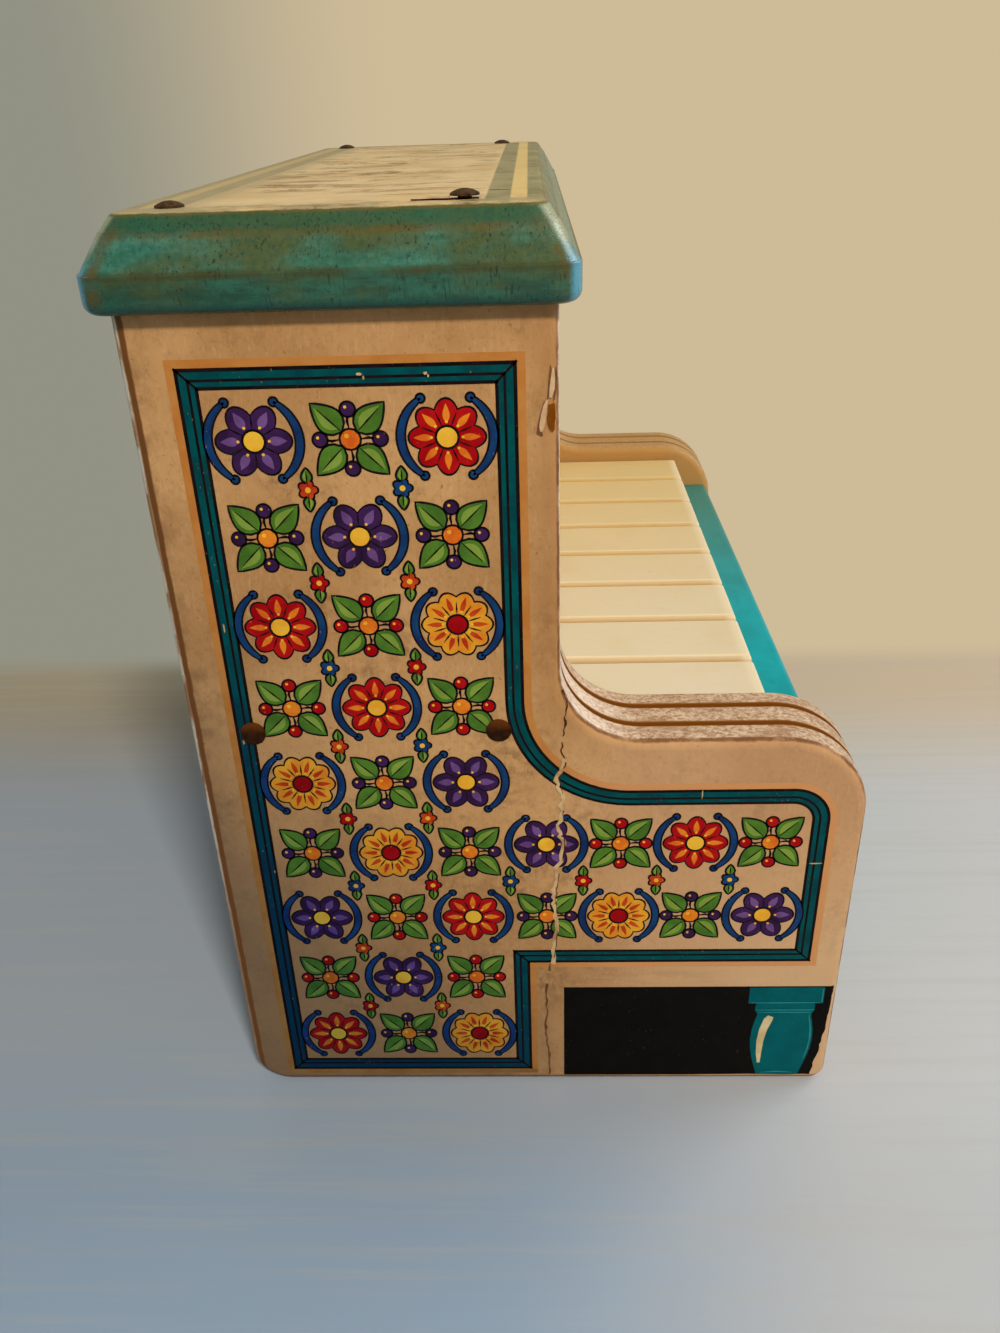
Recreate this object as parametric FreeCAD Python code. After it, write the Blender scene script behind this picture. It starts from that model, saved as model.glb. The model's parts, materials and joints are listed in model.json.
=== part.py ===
import FreeCAD, Part
import math
import os

V = FreeCAD.Vector

# Upright toy piano with eight keys. Lengths are in millimetres.
# +X is the player's right, +Y the back, +Z up; the origin is under the middle of the whole piano.
# Depths are measured from the back edge of the side panels towards the player.

# Plywood side panels
PANEL_THICK = 19.0
PANEL_DEPTH = 128.5
PANEL_HEIGHT = 170.0
CABINET_DEPTH = 69.5
ARM_HEIGHT = 91.0
NECK_RADIUS = 15.5
NOSE_RADIUS = 17.5
HEEL_RADIUS = 8.0
TOE_RADIUS = 3.5
PANEL_EDGE_ROUND = 2.0
CORE_PLY_THICK = 1.3
CORE_PLY_GROOVE = 0.8
RIGHT_PANEL_SET_BACK = 3.2

# Keyboard, one key to each step of the scale
SCALE_SEMITONES = (0, 2, 4, 5, 7, 9, 11, 12)
KEY_COUNT = len(SCALE_SEMITONES)
KEY_PITCH = 20.5
KEY_GAP = 1.0
CHEEK_GAP = 0.7
KEY_TOP_DROP = 4.2
KEY_DIP_ANGLE = 8.6
CAP_THICK = 2.0
CAP_LIP_THICK = 1.8
CAP_LIP_DROP = 8.0
CAP_TUCK = 5.0
CAP_EDGE_ROUND = 0.9
LEVER_SIDE_INSET = 1.0
LEVER_HEIGHT = 11.0
LEVER_HEEL_LENGTH = 10.0
LEVER_HEEL_HEIGHT = 3.2
LEVER_PAST_HAMMER = 1.5
PIVOT_BELOW_LEVER_TOP = 5.4
PIVOT_ROD_RADIUS = 1.5
PIVOT_ROD_SEAT = 8.0
PIVOT_PLATE_SIDE_GAP = 0.5
PIVOT_PLATE_DEPTH = 8.0
PIVOT_PLATE_COVER = 2.5
PIVOT_PLATE_KERF = 3.0
GUIDE_PIN_RADIUS = 1.2
GUIDE_PIN_SEAT = 5.0
GUIDE_PIN_RISE = 5.7
GUIDE_SLOT_SIDE_GAP = 0.4
GUIDE_SLOT_END_GAP = 2.8
GUIDE_SLOT_DEPTH = 9.5

# Places along the part of a key that shows, from the cabinet to the key's front
PIVOT_SHARE = 0.2425
BALANCE_RAIL_SHARES = (0.105, 0.38)
GUIDE_PIN_SHARE = 0.56
STOP_FELT_SHARES = (0.74, 0.88)

# Boards and strips below the keys
SLIP_SETBACK = 4.6
SLIP_THICK = 10.4
SLIP_TOP_DROP = 9.3
SLIP_EDGE_ROUND = 1.6
SLIP_KEY_GAP = 0.7
PLINTH_HEIGHT = 28.8
TOE_BOARD_THICK = 5.0
FLOOR_GAP = 1.0
BASE_THICK = 6.0
KEY_BED_THICK = 8.0
HOUSING_DEPTH = 4.0
STOP_FELT_THICK = 3.0
STOP_CLEARANCE = 0.4
REST_FELT_THICK = 2.8
REST_FELT_DEPTH = 9.0
BALANCE_RAIL_GAP = 1.8

# Cabinet boards and the two nailed cross rails
BACK_RECESS = 1.0
BACK_THICK = 3.0
FRONT_RECESS = 3.0
FRONT_THICK = 2.5
FRONT_KEY_GAP = 3.2
FRONT_EDGE_ROUND = 1.5
RAIL_KEY_GAP = 2.7
RAIL_HEIGHT = 9.0
BACK_RAIL_DEPTH = 16.0
FRONT_RAIL_DEPTH = 12.0

# Moulded lid
LID_OVERHANG = 3.5
LID_FASCIA_HEIGHT = 6.0
LID_FASCIA_BOTTOM_ROUND = 1.8
LID_FASCIA_TOP_ROUND = 0.3
LID_CORNER_ROUND = 4.6
LID_LEDGE = 0.35
LID_SLOPE_RISE = 5.5
LID_SLOPE_RUN = 3.0
LID_QUIRK = 0.15
LID_CROWN_HEIGHT = 2.5
LID_CROWN_LEAN = 1.7
LID_CROWN_ROUND = 1.9

# Nails and screws
NAIL_SHANK_RADIUS = 1.1
NAIL_TIP_LENGTH = 2.5
NAIL_RIM = 0.3
SIDE_NAIL_HEAD_RADIUS = 2.35
SIDE_NAIL_HEAD_RISE = 0.6
SIDE_NAIL_GRIP = 15.0
LID_NAIL_HEAD_RADIUS = 2.3
LID_NAIL_HEAD_RISE = 1.0
LID_NAIL_GRIP = 20.0
LID_NAIL_BACK_EDGE = 9.5
LID_NAIL_FRONT_EDGE = 12.5
LID_NAIL_LOOSE_RISE = 0.5
LID_NAIL_LOOSE_SHIFT = 1.7
BACK_NAIL_COUNT = 4
BACK_NAIL_MARGIN = 30.0
BACK_NAIL_HEAD_RADIUS = 1.8
BACK_NAIL_HEAD_RISE = 0.5
BACK_NAIL_SHANK_RADIUS = 0.7
BACK_NAIL_GRIP = 9.0
SCREW_HEAD_RADIUS = 3.0
SCREW_HEAD_RISE = 2.0
SCREW_SHANK_RADIUS = 1.4
SCREW_GRIP = 7.0

# Hammer action and tone rods
BLOCK_HEIGHT = 8.0
BLOCK_DEPTH = 12.0
BLOCK_END_MARGIN = 4.0
BLOCK_EDGE_ROUND = 1.5
TONE_ROD_RADIUS = 1.5
TONE_ROD_SEAT = 6.0
TONE_ROD_TOP_GAP = 6.0
TONE_ROD_CHAMFER = 0.4
SEMITONES_PER_HALVING = 24
HAMMER_RATIO = 3.4
HAMMER_LENGTH = 34.0
HAMMER_STRIKE_LEAN = 12.0
HAMMER_STRIKE_GAP = 0.3
HAMMER_HEAD_RADIUS = 4.0
HAMMER_HEAD_WIDTH = 9.0
HAMMER_HEAD_ROUND = 1.0
HAMMER_BOSS_RADIUS = 3.2
HAMMER_BOSS_WIDTH = 9.0
HAMMER_SHANK_WIDTH = 5.0
HAMMER_SHANK_ROOT = 2.4
HAMMER_SHANK_END = 1.8
HAMMER_TAIL_REACH = 12.6
HAMMER_TAIL_DROP = 3.15
HAMMER_TAIL_ROOT = 2.4
HAMMER_TAIL_END = 1.3
HAMMER_TIP_RADIUS = 2.0
HAMMER_TIP_WIDTH = 7.0
HAMMER_KEY_GAP = 0.3
HAMMER_ROD_RADIUS = 1.0
HAMMER_ROD_SEAT = 6.0
SPACER_WALL = 0.8
SPACER_SIDE_GAP = 0.2

# Fits and the overrun of every cut
RUNNING_CLEARANCE = 0.05
OVERRUN = 1.0

# Places across the piano
KEY_WIDTH = KEY_PITCH - KEY_GAP
LEVER_WIDTH = KEY_WIDTH - 2 * LEVER_SIDE_INSET
INNER_HALF = (KEY_COUNT * KEY_PITCH - KEY_GAP) / 2 + CHEEK_GAP
OUTER_HALF = INNER_HALF + PANEL_THICK
LID_HALF = OUTER_HALF + LID_OVERHANG
KEY_CENTRES = [(i - (KEY_COUNT - 1) / 2) * KEY_PITCH for i in range(KEY_COUNT)]
GAP_CENTRES = [x + KEY_PITCH / 2 for x in KEY_CENTRES[:-1]]

# Heights
KEY_TOP = ARM_HEIGHT - KEY_TOP_DROP
LEVER_TOP = KEY_TOP - CAP_THICK
LEVER_BOTTOM = LEVER_TOP - LEVER_HEIGHT
PIVOT_Z = LEVER_TOP - PIVOT_BELOW_LEVER_TOP
SLIP_TOP = KEY_TOP - SLIP_TOP_DROP
RAIL_BOTTOM = KEY_TOP + RAIL_KEY_GAP
RAIL_TOP = RAIL_BOTTOM + RAIL_HEIGHT
RAIL_Z = (RAIL_BOTTOM + RAIL_TOP) / 2
BLOCK_TOP = RAIL_TOP + BLOCK_HEIGHT
BASE_TOP = FLOOR_GAP + BASE_THICK
LID_TOP = PANEL_HEIGHT + LID_FASCIA_HEIGHT + LID_SLOPE_RISE + LID_CROWN_HEIGHT

# Depths from the back edge of the side panels
PANEL_BACK_Y = (PANEL_DEPTH - LID_OVERHANG) / 2
BACK_INNER = BACK_RECESS + BACK_THICK
BACK_RAIL_FRONT = BACK_INNER + BACK_RAIL_DEPTH
BACK_RAIL_MIDDLE = BACK_INNER + BACK_RAIL_DEPTH / 2
FRONT_OUTER = CABINET_DEPTH - FRONT_RECESS
FRONT_INNER = FRONT_OUTER - FRONT_THICK
FRONT_RAIL_MIDDLE = FRONT_INNER - FRONT_RAIL_DEPTH / 2
SLIP_FRONT = PANEL_DEPTH - SLIP_SETBACK
SLIP_BACK = SLIP_FRONT - SLIP_THICK
KEY_FRONT = SLIP_BACK - SLIP_KEY_GAP
LEVER_FRONT = KEY_FRONT - CAP_LIP_THICK
CAP_BACK = CABINET_DEPTH - CAP_TUCK


def along_key(share):
    """Depth of a place along the part of a key that shows."""
    return CABINET_DEPTH + share * (KEY_FRONT - CABINET_DEPTH)


PIVOT_DEPTH = along_key(PIVOT_SHARE)
BALANCE_RAIL_BACK, BALANCE_RAIL_FRONT = map(along_key, BALANCE_RAIL_SHARES)
GUIDE_PIN_DEPTH = along_key(GUIDE_PIN_SHARE)
STOP_FELT_BACK, STOP_FELT_FRONT = map(along_key, STOP_FELT_SHARES)

# Hammer places: the strike pose fixes the hammer rod, and the key's top fixes the tail
HAMMER_REST_LEAN = HAMMER_RATIO * KEY_DIP_ANGLE - HAMMER_STRIKE_LEAN
HAMMER_STRIKE_REACH = HAMMER_LENGTH * math.sin(math.radians(HAMMER_STRIKE_LEAN))
ROD_TO_HEAD = TONE_ROD_RADIUS + HAMMER_STRIKE_GAP + HAMMER_HEAD_RADIUS
HAMMER_DEPTH = BACK_RAIL_MIDDLE + ROD_TO_HEAD + HAMMER_STRIKE_REACH
TIP_DEPTH = HAMMER_DEPTH + HAMMER_TAIL_REACH
TIP_Z = LEVER_TOP + HAMMER_KEY_GAP + HAMMER_TIP_RADIUS
HAMMER_Z = TIP_Z + HAMMER_TAIL_DROP
HEAD_DEPTH = HAMMER_DEPTH + HAMMER_LENGTH * math.sin(math.radians(HAMMER_REST_LEAN))
HEAD_Z = HAMMER_Z + HAMMER_LENGTH * math.cos(math.radians(HAMMER_REST_LEAN))
LEVER_BACK = TIP_DEPTH - LEVER_PAST_HAMMER
HEEL_BACK = LEVER_BACK - LEVER_HEEL_LENGTH

# The front stop felt meets the underside of a key at its full dip
DIP_SINE = math.sin(math.radians(KEY_DIP_ANGLE))
DIP_COSINE = math.cos(math.radians(KEY_DIP_ANGLE))
LEVER_DIPPED = (PIVOT_Z - (PIVOT_Z - LEVER_BOTTOM) * DIP_COSINE
                - (STOP_FELT_FRONT - PIVOT_DEPTH) * DIP_SINE)
STOP_FELT_TOP = LEVER_DIPPED - STOP_CLEARANCE
KEY_BED_TOP = STOP_FELT_TOP - STOP_FELT_THICK
KEY_BED_BOTTOM = KEY_BED_TOP - KEY_BED_THICK
REST_RAIL_TOP = LEVER_BOTTOM - REST_FELT_THICK
REST_RAIL_FRONT = HEEL_BACK + REST_FELT_DEPTH
BALANCE_RAIL_TOP = LEVER_BOTTOM - BALANCE_RAIL_GAP


def y_at(depth):
    """Y of a depth measured from the back edge of the side panels."""
    return PANEL_BACK_Y - depth


def side_point(depth, height):
    """Point in the piano's middle plane."""
    return V(0, y_at(depth), height)


def board(half_width, back, front, low, high):
    """Flat board across the piano, centred between the side panels."""
    return Part.makeBox(2 * half_width, front - back, high - low, V(-half_width, y_at(front), low))


def rod_x(left, right, depth, height, radius):
    """Round rod across the piano."""
    return Part.makeCylinder(radius, right - left, V(left, y_at(depth), height), V(1, 0, 0))


def rod_z(x, depth, low, high, radius):
    """Upright round rod."""
    return Part.makeCylinder(radius, high - low, V(x, y_at(depth), low), V(0, 0, 1))


def unit(vector):
    """Vector of the same direction and length 1."""
    return V(vector).normalize()


def rounded_wire(corners):
    """Closed wire through corner points, each rounded by its own radius."""
    stretches = []
    for i, (point, radius) in enumerate(corners):
        if not radius:
            stretches.append((point, None, point))
            continue
        to_last = unit(corners[i - 1][0] - point)
        to_next = unit(corners[(i + 1) % len(corners)][0] - point)
        half_angle = to_last.getAngle(to_next) / 2
        run = radius / math.tan(half_angle)
        inward = unit(to_last + to_next) * (radius / math.sin(half_angle) - radius)
        stretches.append((point + to_last * run, point + inward, point + to_next * run))
    edges = []
    for i, (start, middle, end) in enumerate(stretches):
        if middle:
            edges.append(Part.Arc(start, middle, end).toShape())
        following = stretches[(i + 1) % len(stretches)][0]
        edges.append(Part.LineSegment(end, following).toShape())
    return Part.Wire(edges)


def side_profile(corners, left, right):
    """Solid of one outline of (depth, height, radius) corners, carried across from left to right."""
    wire = rounded_wire([(side_point(depth, height), radius) for depth, height, radius in corners])
    solid = Part.Face(wire).extrude(V(right - left, 0, 0))
    solid.translate(V(left, 0, 0))
    return solid


def link_x(start, start_radius, end, end_radius, centre, width):
    """Tapered link between two round ends, given as (depth, height), with its width across X."""
    first = side_point(*start)
    last = side_point(*end)
    along = last - first
    heading = math.atan2(along.z, along.y)
    spread = math.acos((start_radius - end_radius) / along.Length)

    def on_circle(middle, radius, angle):
        return middle + V(0, radius * math.cos(angle), radius * math.sin(angle))

    first_left = on_circle(first, start_radius, heading + spread)
    first_far = on_circle(first, start_radius, heading + math.pi)
    first_right = on_circle(first, start_radius, heading - spread)
    last_left = on_circle(last, end_radius, heading + spread)
    last_far = on_circle(last, end_radius, heading)
    last_right = on_circle(last, end_radius, heading - spread)
    wire = Part.Wire([
        Part.Arc(first_left, first_far, first_right).toShape(),
        Part.LineSegment(first_right, last_right).toShape(),
        Part.Arc(last_right, last_far, last_left).toShape(),
        Part.LineSegment(last_left, first_left).toShape(),
    ])
    solid = Part.Face(wire).extrude(V(width, 0, 0))
    solid.translate(V(centre - width / 2, 0, 0))
    return solid


def edges_where(shape, test):
    """Edges whose two ends and middle all pass a test."""
    kept = []
    for edge in shape.Edges:
        middle = edge.valueAt((edge.FirstParameter + edge.LastParameter) / 2)
        if all(test(point) for point in [middle] + [vertex.Point for vertex in edge.Vertexes]):
            kept.append(edge)
    return kept


def same(a, b):
    """True where two lengths agree to the model's precision."""
    return math.isclose(a, b, rel_tol=1e-6, abs_tol=1e-6 * PANEL_HEIGHT)


def nail(head_radius, head_rise, shank_radius, length):
    """Domed nail along +Z with the underside of its head at the origin and its point below."""
    dome = head_rise - NAIL_RIM
    ball = (dome * dome + head_radius * head_radius) / (2 * dome)
    half_turn = math.asin(head_radius / ball) / 2
    ball_centre = head_rise - ball
    dome_middle = V(ball * math.sin(half_turn), 0, ball_centre + ball * math.cos(half_turn))
    rim_top = V(head_radius, 0, NAIL_RIM)
    crown = V(0, 0, head_rise)
    outline = [
        V(0, 0, -length),
        V(shank_radius, 0, NAIL_TIP_LENGTH - length),
        V(shank_radius, 0, 0),
        V(head_radius, 0, 0),
        rim_top,
    ]
    edges = [Part.LineSegment(a, b).toShape() for a, b in zip(outline, outline[1:])]
    edges.append(Part.Arc(rim_top, dome_middle, crown).toShape())
    edges.append(Part.LineSegment(crown, outline[0]).toShape())
    return Part.Face(Part.Wire(edges)).revolve(V(0, 0, 0), V(0, 0, 1), 360)


def placed(shape, origin, direction):
    """Copy of a shape with its +Z turned to a direction and its origin moved."""
    copy = shape.copy()
    copy.Placement = FreeCAD.Placement(origin, FreeCAD.Rotation(V(0, 0, 1), direction))
    return copy


def lid_nail_places():
    """Points under the nail heads, over the middle of each side panel; the left front nail is loose."""
    across = INNER_HALF + PANEL_THICK / 2
    back = y_at(LID_NAIL_BACK_EDGE)
    front = y_at(CABINET_DEPTH - LID_NAIL_FRONT_EDGE)
    return [V(-across, back, LID_TOP), V(across, back, LID_TOP), V(across, front, LID_TOP),
            V(-across, front + LID_NAIL_LOOSE_SHIFT, LID_TOP + LID_NAIL_LOOSE_RISE)]


def lid_nails():
    one = nail(LID_NAIL_HEAD_RADIUS, LID_NAIL_HEAD_RISE, NAIL_SHANK_RADIUS,
               LID_TOP - PANEL_HEIGHT + LID_NAIL_GRIP)
    return Part.makeCompound([placed(one, point, V(0, 0, 1)) for point in lid_nail_places()])


def side_nails():
    """Nails through the side panels into the ends of the two cross rails."""
    one = nail(SIDE_NAIL_HEAD_RADIUS, SIDE_NAIL_HEAD_RISE, NAIL_SHANK_RADIUS,
               PANEL_THICK + SIDE_NAIL_GRIP)
    copies = []
    for side in (-1, 1):
        for depth in (BACK_RAIL_MIDDLE, FRONT_RAIL_MIDDLE):
            origin = V(side * OUTER_HALF, y_at(depth), RAIL_Z)
            copies.append(placed(one, origin, V(side, 0, 0)))
    return Part.makeCompound(copies)


def back_nail_places():
    """Points on the outside of the back panel over the back rail and the base board."""
    span = 2 * (INNER_HALF - BACK_NAIL_MARGIN)
    across = [span * (i / (BACK_NAIL_COUNT - 1) - 1 / 2) for i in range(BACK_NAIL_COUNT)]
    heights = (RAIL_Z, FLOOR_GAP + BASE_THICK / 2)
    return [V(x, y_at(BACK_RECESS), height) for height in heights for x in across]


def back_nails():
    one = nail(BACK_NAIL_HEAD_RADIUS, BACK_NAIL_HEAD_RISE, BACK_NAIL_SHANK_RADIUS,
               BACK_THICK + BACK_NAIL_GRIP)
    return Part.makeCompound([placed(one, point, V(0, 1, 0)) for point in back_nail_places()])


def screw_places():
    """Points on the tone block's top, between rods, near its ends and at its middle."""
    across = (GAP_CENTRES[0], GAP_CENTRES[len(GAP_CENTRES) // 2], GAP_CENTRES[-1])
    return [V(x, y_at(BACK_RAIL_MIDDLE), BLOCK_TOP) for x in across]


def tone_block_screws():
    one = nail(SCREW_HEAD_RADIUS, SCREW_HEAD_RISE, SCREW_SHANK_RADIUS, BLOCK_HEIGHT + SCREW_GRIP)
    return Part.makeCompound([placed(one, point, V(0, 0, 1)) for point in screw_places()])


def panel_corners(inset):
    """Corners of a side panel's outline, drawn in by an inset everywhere but at the top."""
    return [
        (inset, inset, HEEL_RADIUS - inset),
        (PANEL_DEPTH - inset, inset, TOE_RADIUS - inset),
        (PANEL_DEPTH - inset, ARM_HEIGHT - inset, NOSE_RADIUS - inset),
        (CABINET_DEPTH - inset, ARM_HEIGHT - inset, NECK_RADIUS + inset),
        (CABINET_DEPTH - inset, PANEL_HEIGHT, 0),
        (inset, PANEL_HEIGHT, 0),
    ]


def core_ply_grooves(left, right):
    """Grooves round the panel's edge where its two thin core plies have shrunk back."""
    face_ply = (right - left - 2 * CORE_PLY_THICK) / 3
    grooves = []
    for start in (left + face_ply, right - face_ply - CORE_PLY_THICK):
        end = start + CORE_PLY_THICK
        whole = side_profile(panel_corners(0), start, end)
        grooves.append(whole.cut(side_profile(panel_corners(CORE_PLY_GROOVE), start, end)))
    return grooves


def side_panel(side):
    """L-shaped panel with a hollow neck, a round nose and rounded-over edges; side is -1 or 1.

    The right one stands a little further back than the left one.
    """
    left, right = sorted((side * INNER_HALF, side * OUTER_HALF))
    panel = side_profile(panel_corners(0), left, right)

    def on_face_below_top(edge):
        middle = edge.valueAt((edge.FirstParameter + edge.LastParameter) / 2)
        flat = all(same(vertex.X, edge.Vertexes[0].X) for vertex in edge.Vertexes)
        return flat and not same(middle.z, PANEL_HEIGHT)

    rim = [edge for edge in panel.Edges if on_face_below_top(edge)]
    panel = panel.makeFillet(PANEL_EDGE_ROUND, rim).cut(core_ply_grooves(left, right))
    if side > 0:
        panel.translate(V(0, RIGHT_PANEL_SET_BACK, 0))
    housing = key_bed()
    sockets = [
        rod_x(-INNER_HALF - PIVOT_ROD_SEAT, INNER_HALF + PIVOT_ROD_SEAT,
              PIVOT_DEPTH, PIVOT_Z, PIVOT_ROD_RADIUS),
        rod_x(-INNER_HALF - HAMMER_ROD_SEAT, INNER_HALF + HAMMER_ROD_SEAT,
              HAMMER_DEPTH, HAMMER_Z, HAMMER_ROD_RADIUS),
    ]
    return panel.cut([housing, side_nails(), lid_nails()] + sockets)


def rounded_rectangle(inset, radius, height):
    """Wire of the lid's plan, drawn in from its outer edge, at one height."""
    half = LID_HALF - inset
    back = y_at(inset - LID_OVERHANG)
    front = y_at(CABINET_DEPTH + LID_OVERHANG - inset)
    corners = [V(-half, front, height), V(half, front, height),
               V(half, back, height), V(-half, back, height)]
    return rounded_wire([(corner, radius) for corner in corners])


def lid():
    """Lid with a rounded fascia, a ledge, a sloped moulding, a small step and a leaning, rounded crown."""
    ledge_height = PANEL_HEIGHT + LID_FASCIA_HEIGHT
    step_height = ledge_height + LID_SLOPE_RISE
    slope_inset = LID_LEDGE + LID_SLOPE_RUN
    crown_inset = slope_inset + LID_QUIRK
    corner = LID_CORNER_ROUND - LID_LEDGE

    fascia = Part.Face(rounded_rectangle(0, LID_CORNER_ROUND, PANEL_HEIGHT))
    fascia = fascia.extrude(V(0, 0, LID_FASCIA_HEIGHT))
    fascia = fascia.makeFillet(LID_FASCIA_BOTTOM_ROUND,
                               edges_where(fascia, lambda point: same(point.z, PANEL_HEIGHT)))
    fascia = fascia.makeFillet(LID_FASCIA_TOP_ROUND,
                               edges_where(fascia, lambda point: same(point.z, ledge_height)))
    slope = Part.makeLoft([rounded_rectangle(LID_LEDGE, corner, ledge_height),
                           rounded_rectangle(slope_inset, corner, step_height)], True, True)
    crown = Part.makeLoft([rounded_rectangle(crown_inset, corner, step_height),
                           rounded_rectangle(crown_inset + LID_CROWN_LEAN, corner, LID_TOP)], True, True)
    crown = crown.makeFillet(LID_CROWN_ROUND,
                             edges_where(crown, lambda point: same(point.z, LID_TOP)))
    return fascia.multiFuse([slope, crown]).removeSplitter().cut(lid_nails())


def front_panel():
    """Upper front board that closes the cabinet above the keys."""
    bottom = KEY_TOP + FRONT_KEY_GAP
    panel = board(INNER_HALF, FRONT_INNER, FRONT_OUTER, bottom, PANEL_HEIGHT)
    lower_edge = edges_where(panel, lambda point: same(point.z, bottom)
                             and same(point.y, y_at(FRONT_OUTER)))
    return panel.makeFillet(FRONT_EDGE_ROUND, lower_edge)


def back_panel():
    panel = board(INNER_HALF, BACK_RECESS, BACK_INNER, FLOOR_GAP, PANEL_HEIGHT)
    return panel.cut(back_nails())


def front_rail():
    rail = board(INNER_HALF, FRONT_INNER - FRONT_RAIL_DEPTH, FRONT_INNER, RAIL_BOTTOM, RAIL_TOP)
    return rail.cut(side_nails())


def back_rail():
    rail = board(INNER_HALF, BACK_INNER, BACK_RAIL_FRONT, RAIL_BOTTOM, RAIL_TOP)
    return rail.cut([side_nails(), back_nails(), tone_block_screws()])


def base_board():
    bottom = board(INNER_HALF, BACK_INNER, SLIP_BACK - TOE_BOARD_THICK, FLOOR_GAP, BASE_TOP)
    return bottom.cut(back_nails())


def toe_board():
    """Recessed board below the key slip."""
    return board(INNER_HALF, SLIP_BACK - TOE_BOARD_THICK, SLIP_BACK, FLOOR_GAP, KEY_BED_BOTTOM)


def key_slip():
    """Front board whose rounded top edge runs in front of the keys."""
    slip = board(INNER_HALF, SLIP_BACK, SLIP_FRONT, PLINTH_HEIGHT, SLIP_TOP)
    front_y = y_at(SLIP_FRONT)
    rounded = edges_where(slip, lambda point: same(point.z, SLIP_TOP))
    rounded += edges_where(slip, lambda point: same(point.z, PLINTH_HEIGHT) and same(point.y, front_y))
    long_edges = [edge for edge in rounded if same(edge.Length, 2 * INNER_HALF)]
    return slip.makeFillet(SLIP_EDGE_ROUND, long_edges)


def guide_pins():
    top = LEVER_BOTTOM + GUIDE_PIN_RISE
    bottom = KEY_BED_TOP - GUIDE_PIN_SEAT
    pins = [rod_z(x, GUIDE_PIN_DEPTH, bottom, top, GUIDE_PIN_RADIUS) for x in KEY_CENTRES]
    return Part.makeCompound(pins)


def key_bed():
    """Board housed in both side panels, which carries the keyboard."""
    return board(INNER_HALF + HOUSING_DEPTH, BACK_INNER, SLIP_BACK, KEY_BED_BOTTOM, KEY_BED_TOP)


def pivot_plates():
    """Upright plates between the keys, which hold the pivot rod and stand in saw cuts in the rail."""
    half_depth = PIVOT_PLATE_DEPTH / 2
    low = BALANCE_RAIL_TOP - PIVOT_PLATE_KERF
    high = PIVOT_Z + PIVOT_ROD_RADIUS + PIVOT_PLATE_COVER
    corners = [
        (PIVOT_DEPTH - half_depth, low, 0),
        (PIVOT_DEPTH + half_depth, low, 0),
        (PIVOT_DEPTH + half_depth, high, half_depth / 2),
        (PIVOT_DEPTH - half_depth, high, half_depth / 2),
    ]
    half_thick = (KEY_PITCH - LEVER_WIDTH) / 2 - PIVOT_PLATE_SIDE_GAP
    plates = [side_profile(corners, x - half_thick, x + half_thick) for x in GAP_CENTRES]
    return Part.makeCompound(plates).cut(key_pivot_rod())


def balance_rail():
    rail = board(INNER_HALF, BALANCE_RAIL_BACK, BALANCE_RAIL_FRONT, KEY_BED_TOP, BALANCE_RAIL_TOP)
    return rail.cut(pivot_plates())


def key_pivot_rod():
    reach = INNER_HALF + PIVOT_ROD_SEAT
    return rod_x(-reach, reach, PIVOT_DEPTH, PIVOT_Z, PIVOT_ROD_RADIUS)


def key_rest_rail():
    return board(INNER_HALF, HEEL_BACK, REST_RAIL_FRONT, KEY_BED_TOP, REST_RAIL_TOP)


def key_rest_felt():
    return board(INNER_HALF, HEEL_BACK, REST_RAIL_FRONT, REST_RAIL_TOP, LEVER_BOTTOM)


def key_stop_felt():
    return board(INNER_HALF, STOP_FELT_BACK, STOP_FELT_FRONT, KEY_BED_TOP, STOP_FELT_TOP)


def key_lever(x):
    """Wooden lever with a thin heel behind, cut back to clear the hammer's tail."""
    half = LEVER_WIDTH / 2
    corners = [
        (HEEL_BACK, LEVER_BOTTOM, 0),
        (LEVER_FRONT, LEVER_BOTTOM, 0),
        (LEVER_FRONT, LEVER_TOP, 0),
        (LEVER_BACK, LEVER_TOP, 0),
        (LEVER_BACK, LEVER_BOTTOM + LEVER_HEEL_HEIGHT, LEVER_HEEL_HEIGHT / 2),
        (HEEL_BACK, LEVER_BOTTOM + LEVER_HEEL_HEIGHT, 0),
    ]
    lever = side_profile(corners, x - half, x + half)
    bore = rod_x(x - half - OVERRUN, x + half + OVERRUN, PIVOT_DEPTH, PIVOT_Z,
                 PIVOT_ROD_RADIUS + RUNNING_CLEARANCE)
    slot_half = GUIDE_PIN_RADIUS + GUIDE_SLOT_SIDE_GAP
    slot_reach = GUIDE_PIN_RADIUS + GUIDE_SLOT_END_GAP
    slot = board(slot_half, GUIDE_PIN_DEPTH - slot_reach, GUIDE_PIN_DEPTH + slot_reach,
                 LEVER_BOTTOM - OVERRUN, LEVER_BOTTOM + GUIDE_SLOT_DEPTH)
    slot.translate(V(x, 0, 0))
    return lever.cut([bore, slot])


def key_cap(x):
    """Key cover with a front lip and softened edges."""
    half = KEY_WIDTH / 2
    lip_bottom = LEVER_TOP - CAP_LIP_DROP
    corners = [
        (CAP_BACK, LEVER_TOP, 0),
        (LEVER_FRONT, LEVER_TOP, 0),
        (LEVER_FRONT, lip_bottom, 0),
        (KEY_FRONT, lip_bottom, 0),
        (KEY_FRONT, KEY_TOP, 0),
        (CAP_BACK, KEY_TOP, 0),
    ]
    cap = side_profile(corners, x - half, x + half)
    front_y = y_at(KEY_FRONT)
    top_rim = [edge for edge in edges_where(cap, lambda point: same(point.z, KEY_TOP))
               if not same(edge.BoundBox.YMin, y_at(CAP_BACK))]
    front_rim = [edge for edge in edges_where(cap, lambda point: same(point.y, front_y))
                 if not same(edge.BoundBox.ZMin, edge.BoundBox.ZMax)]
    return cap.makeFillet(CAP_EDGE_ROUND, top_rim + front_rim)


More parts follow.
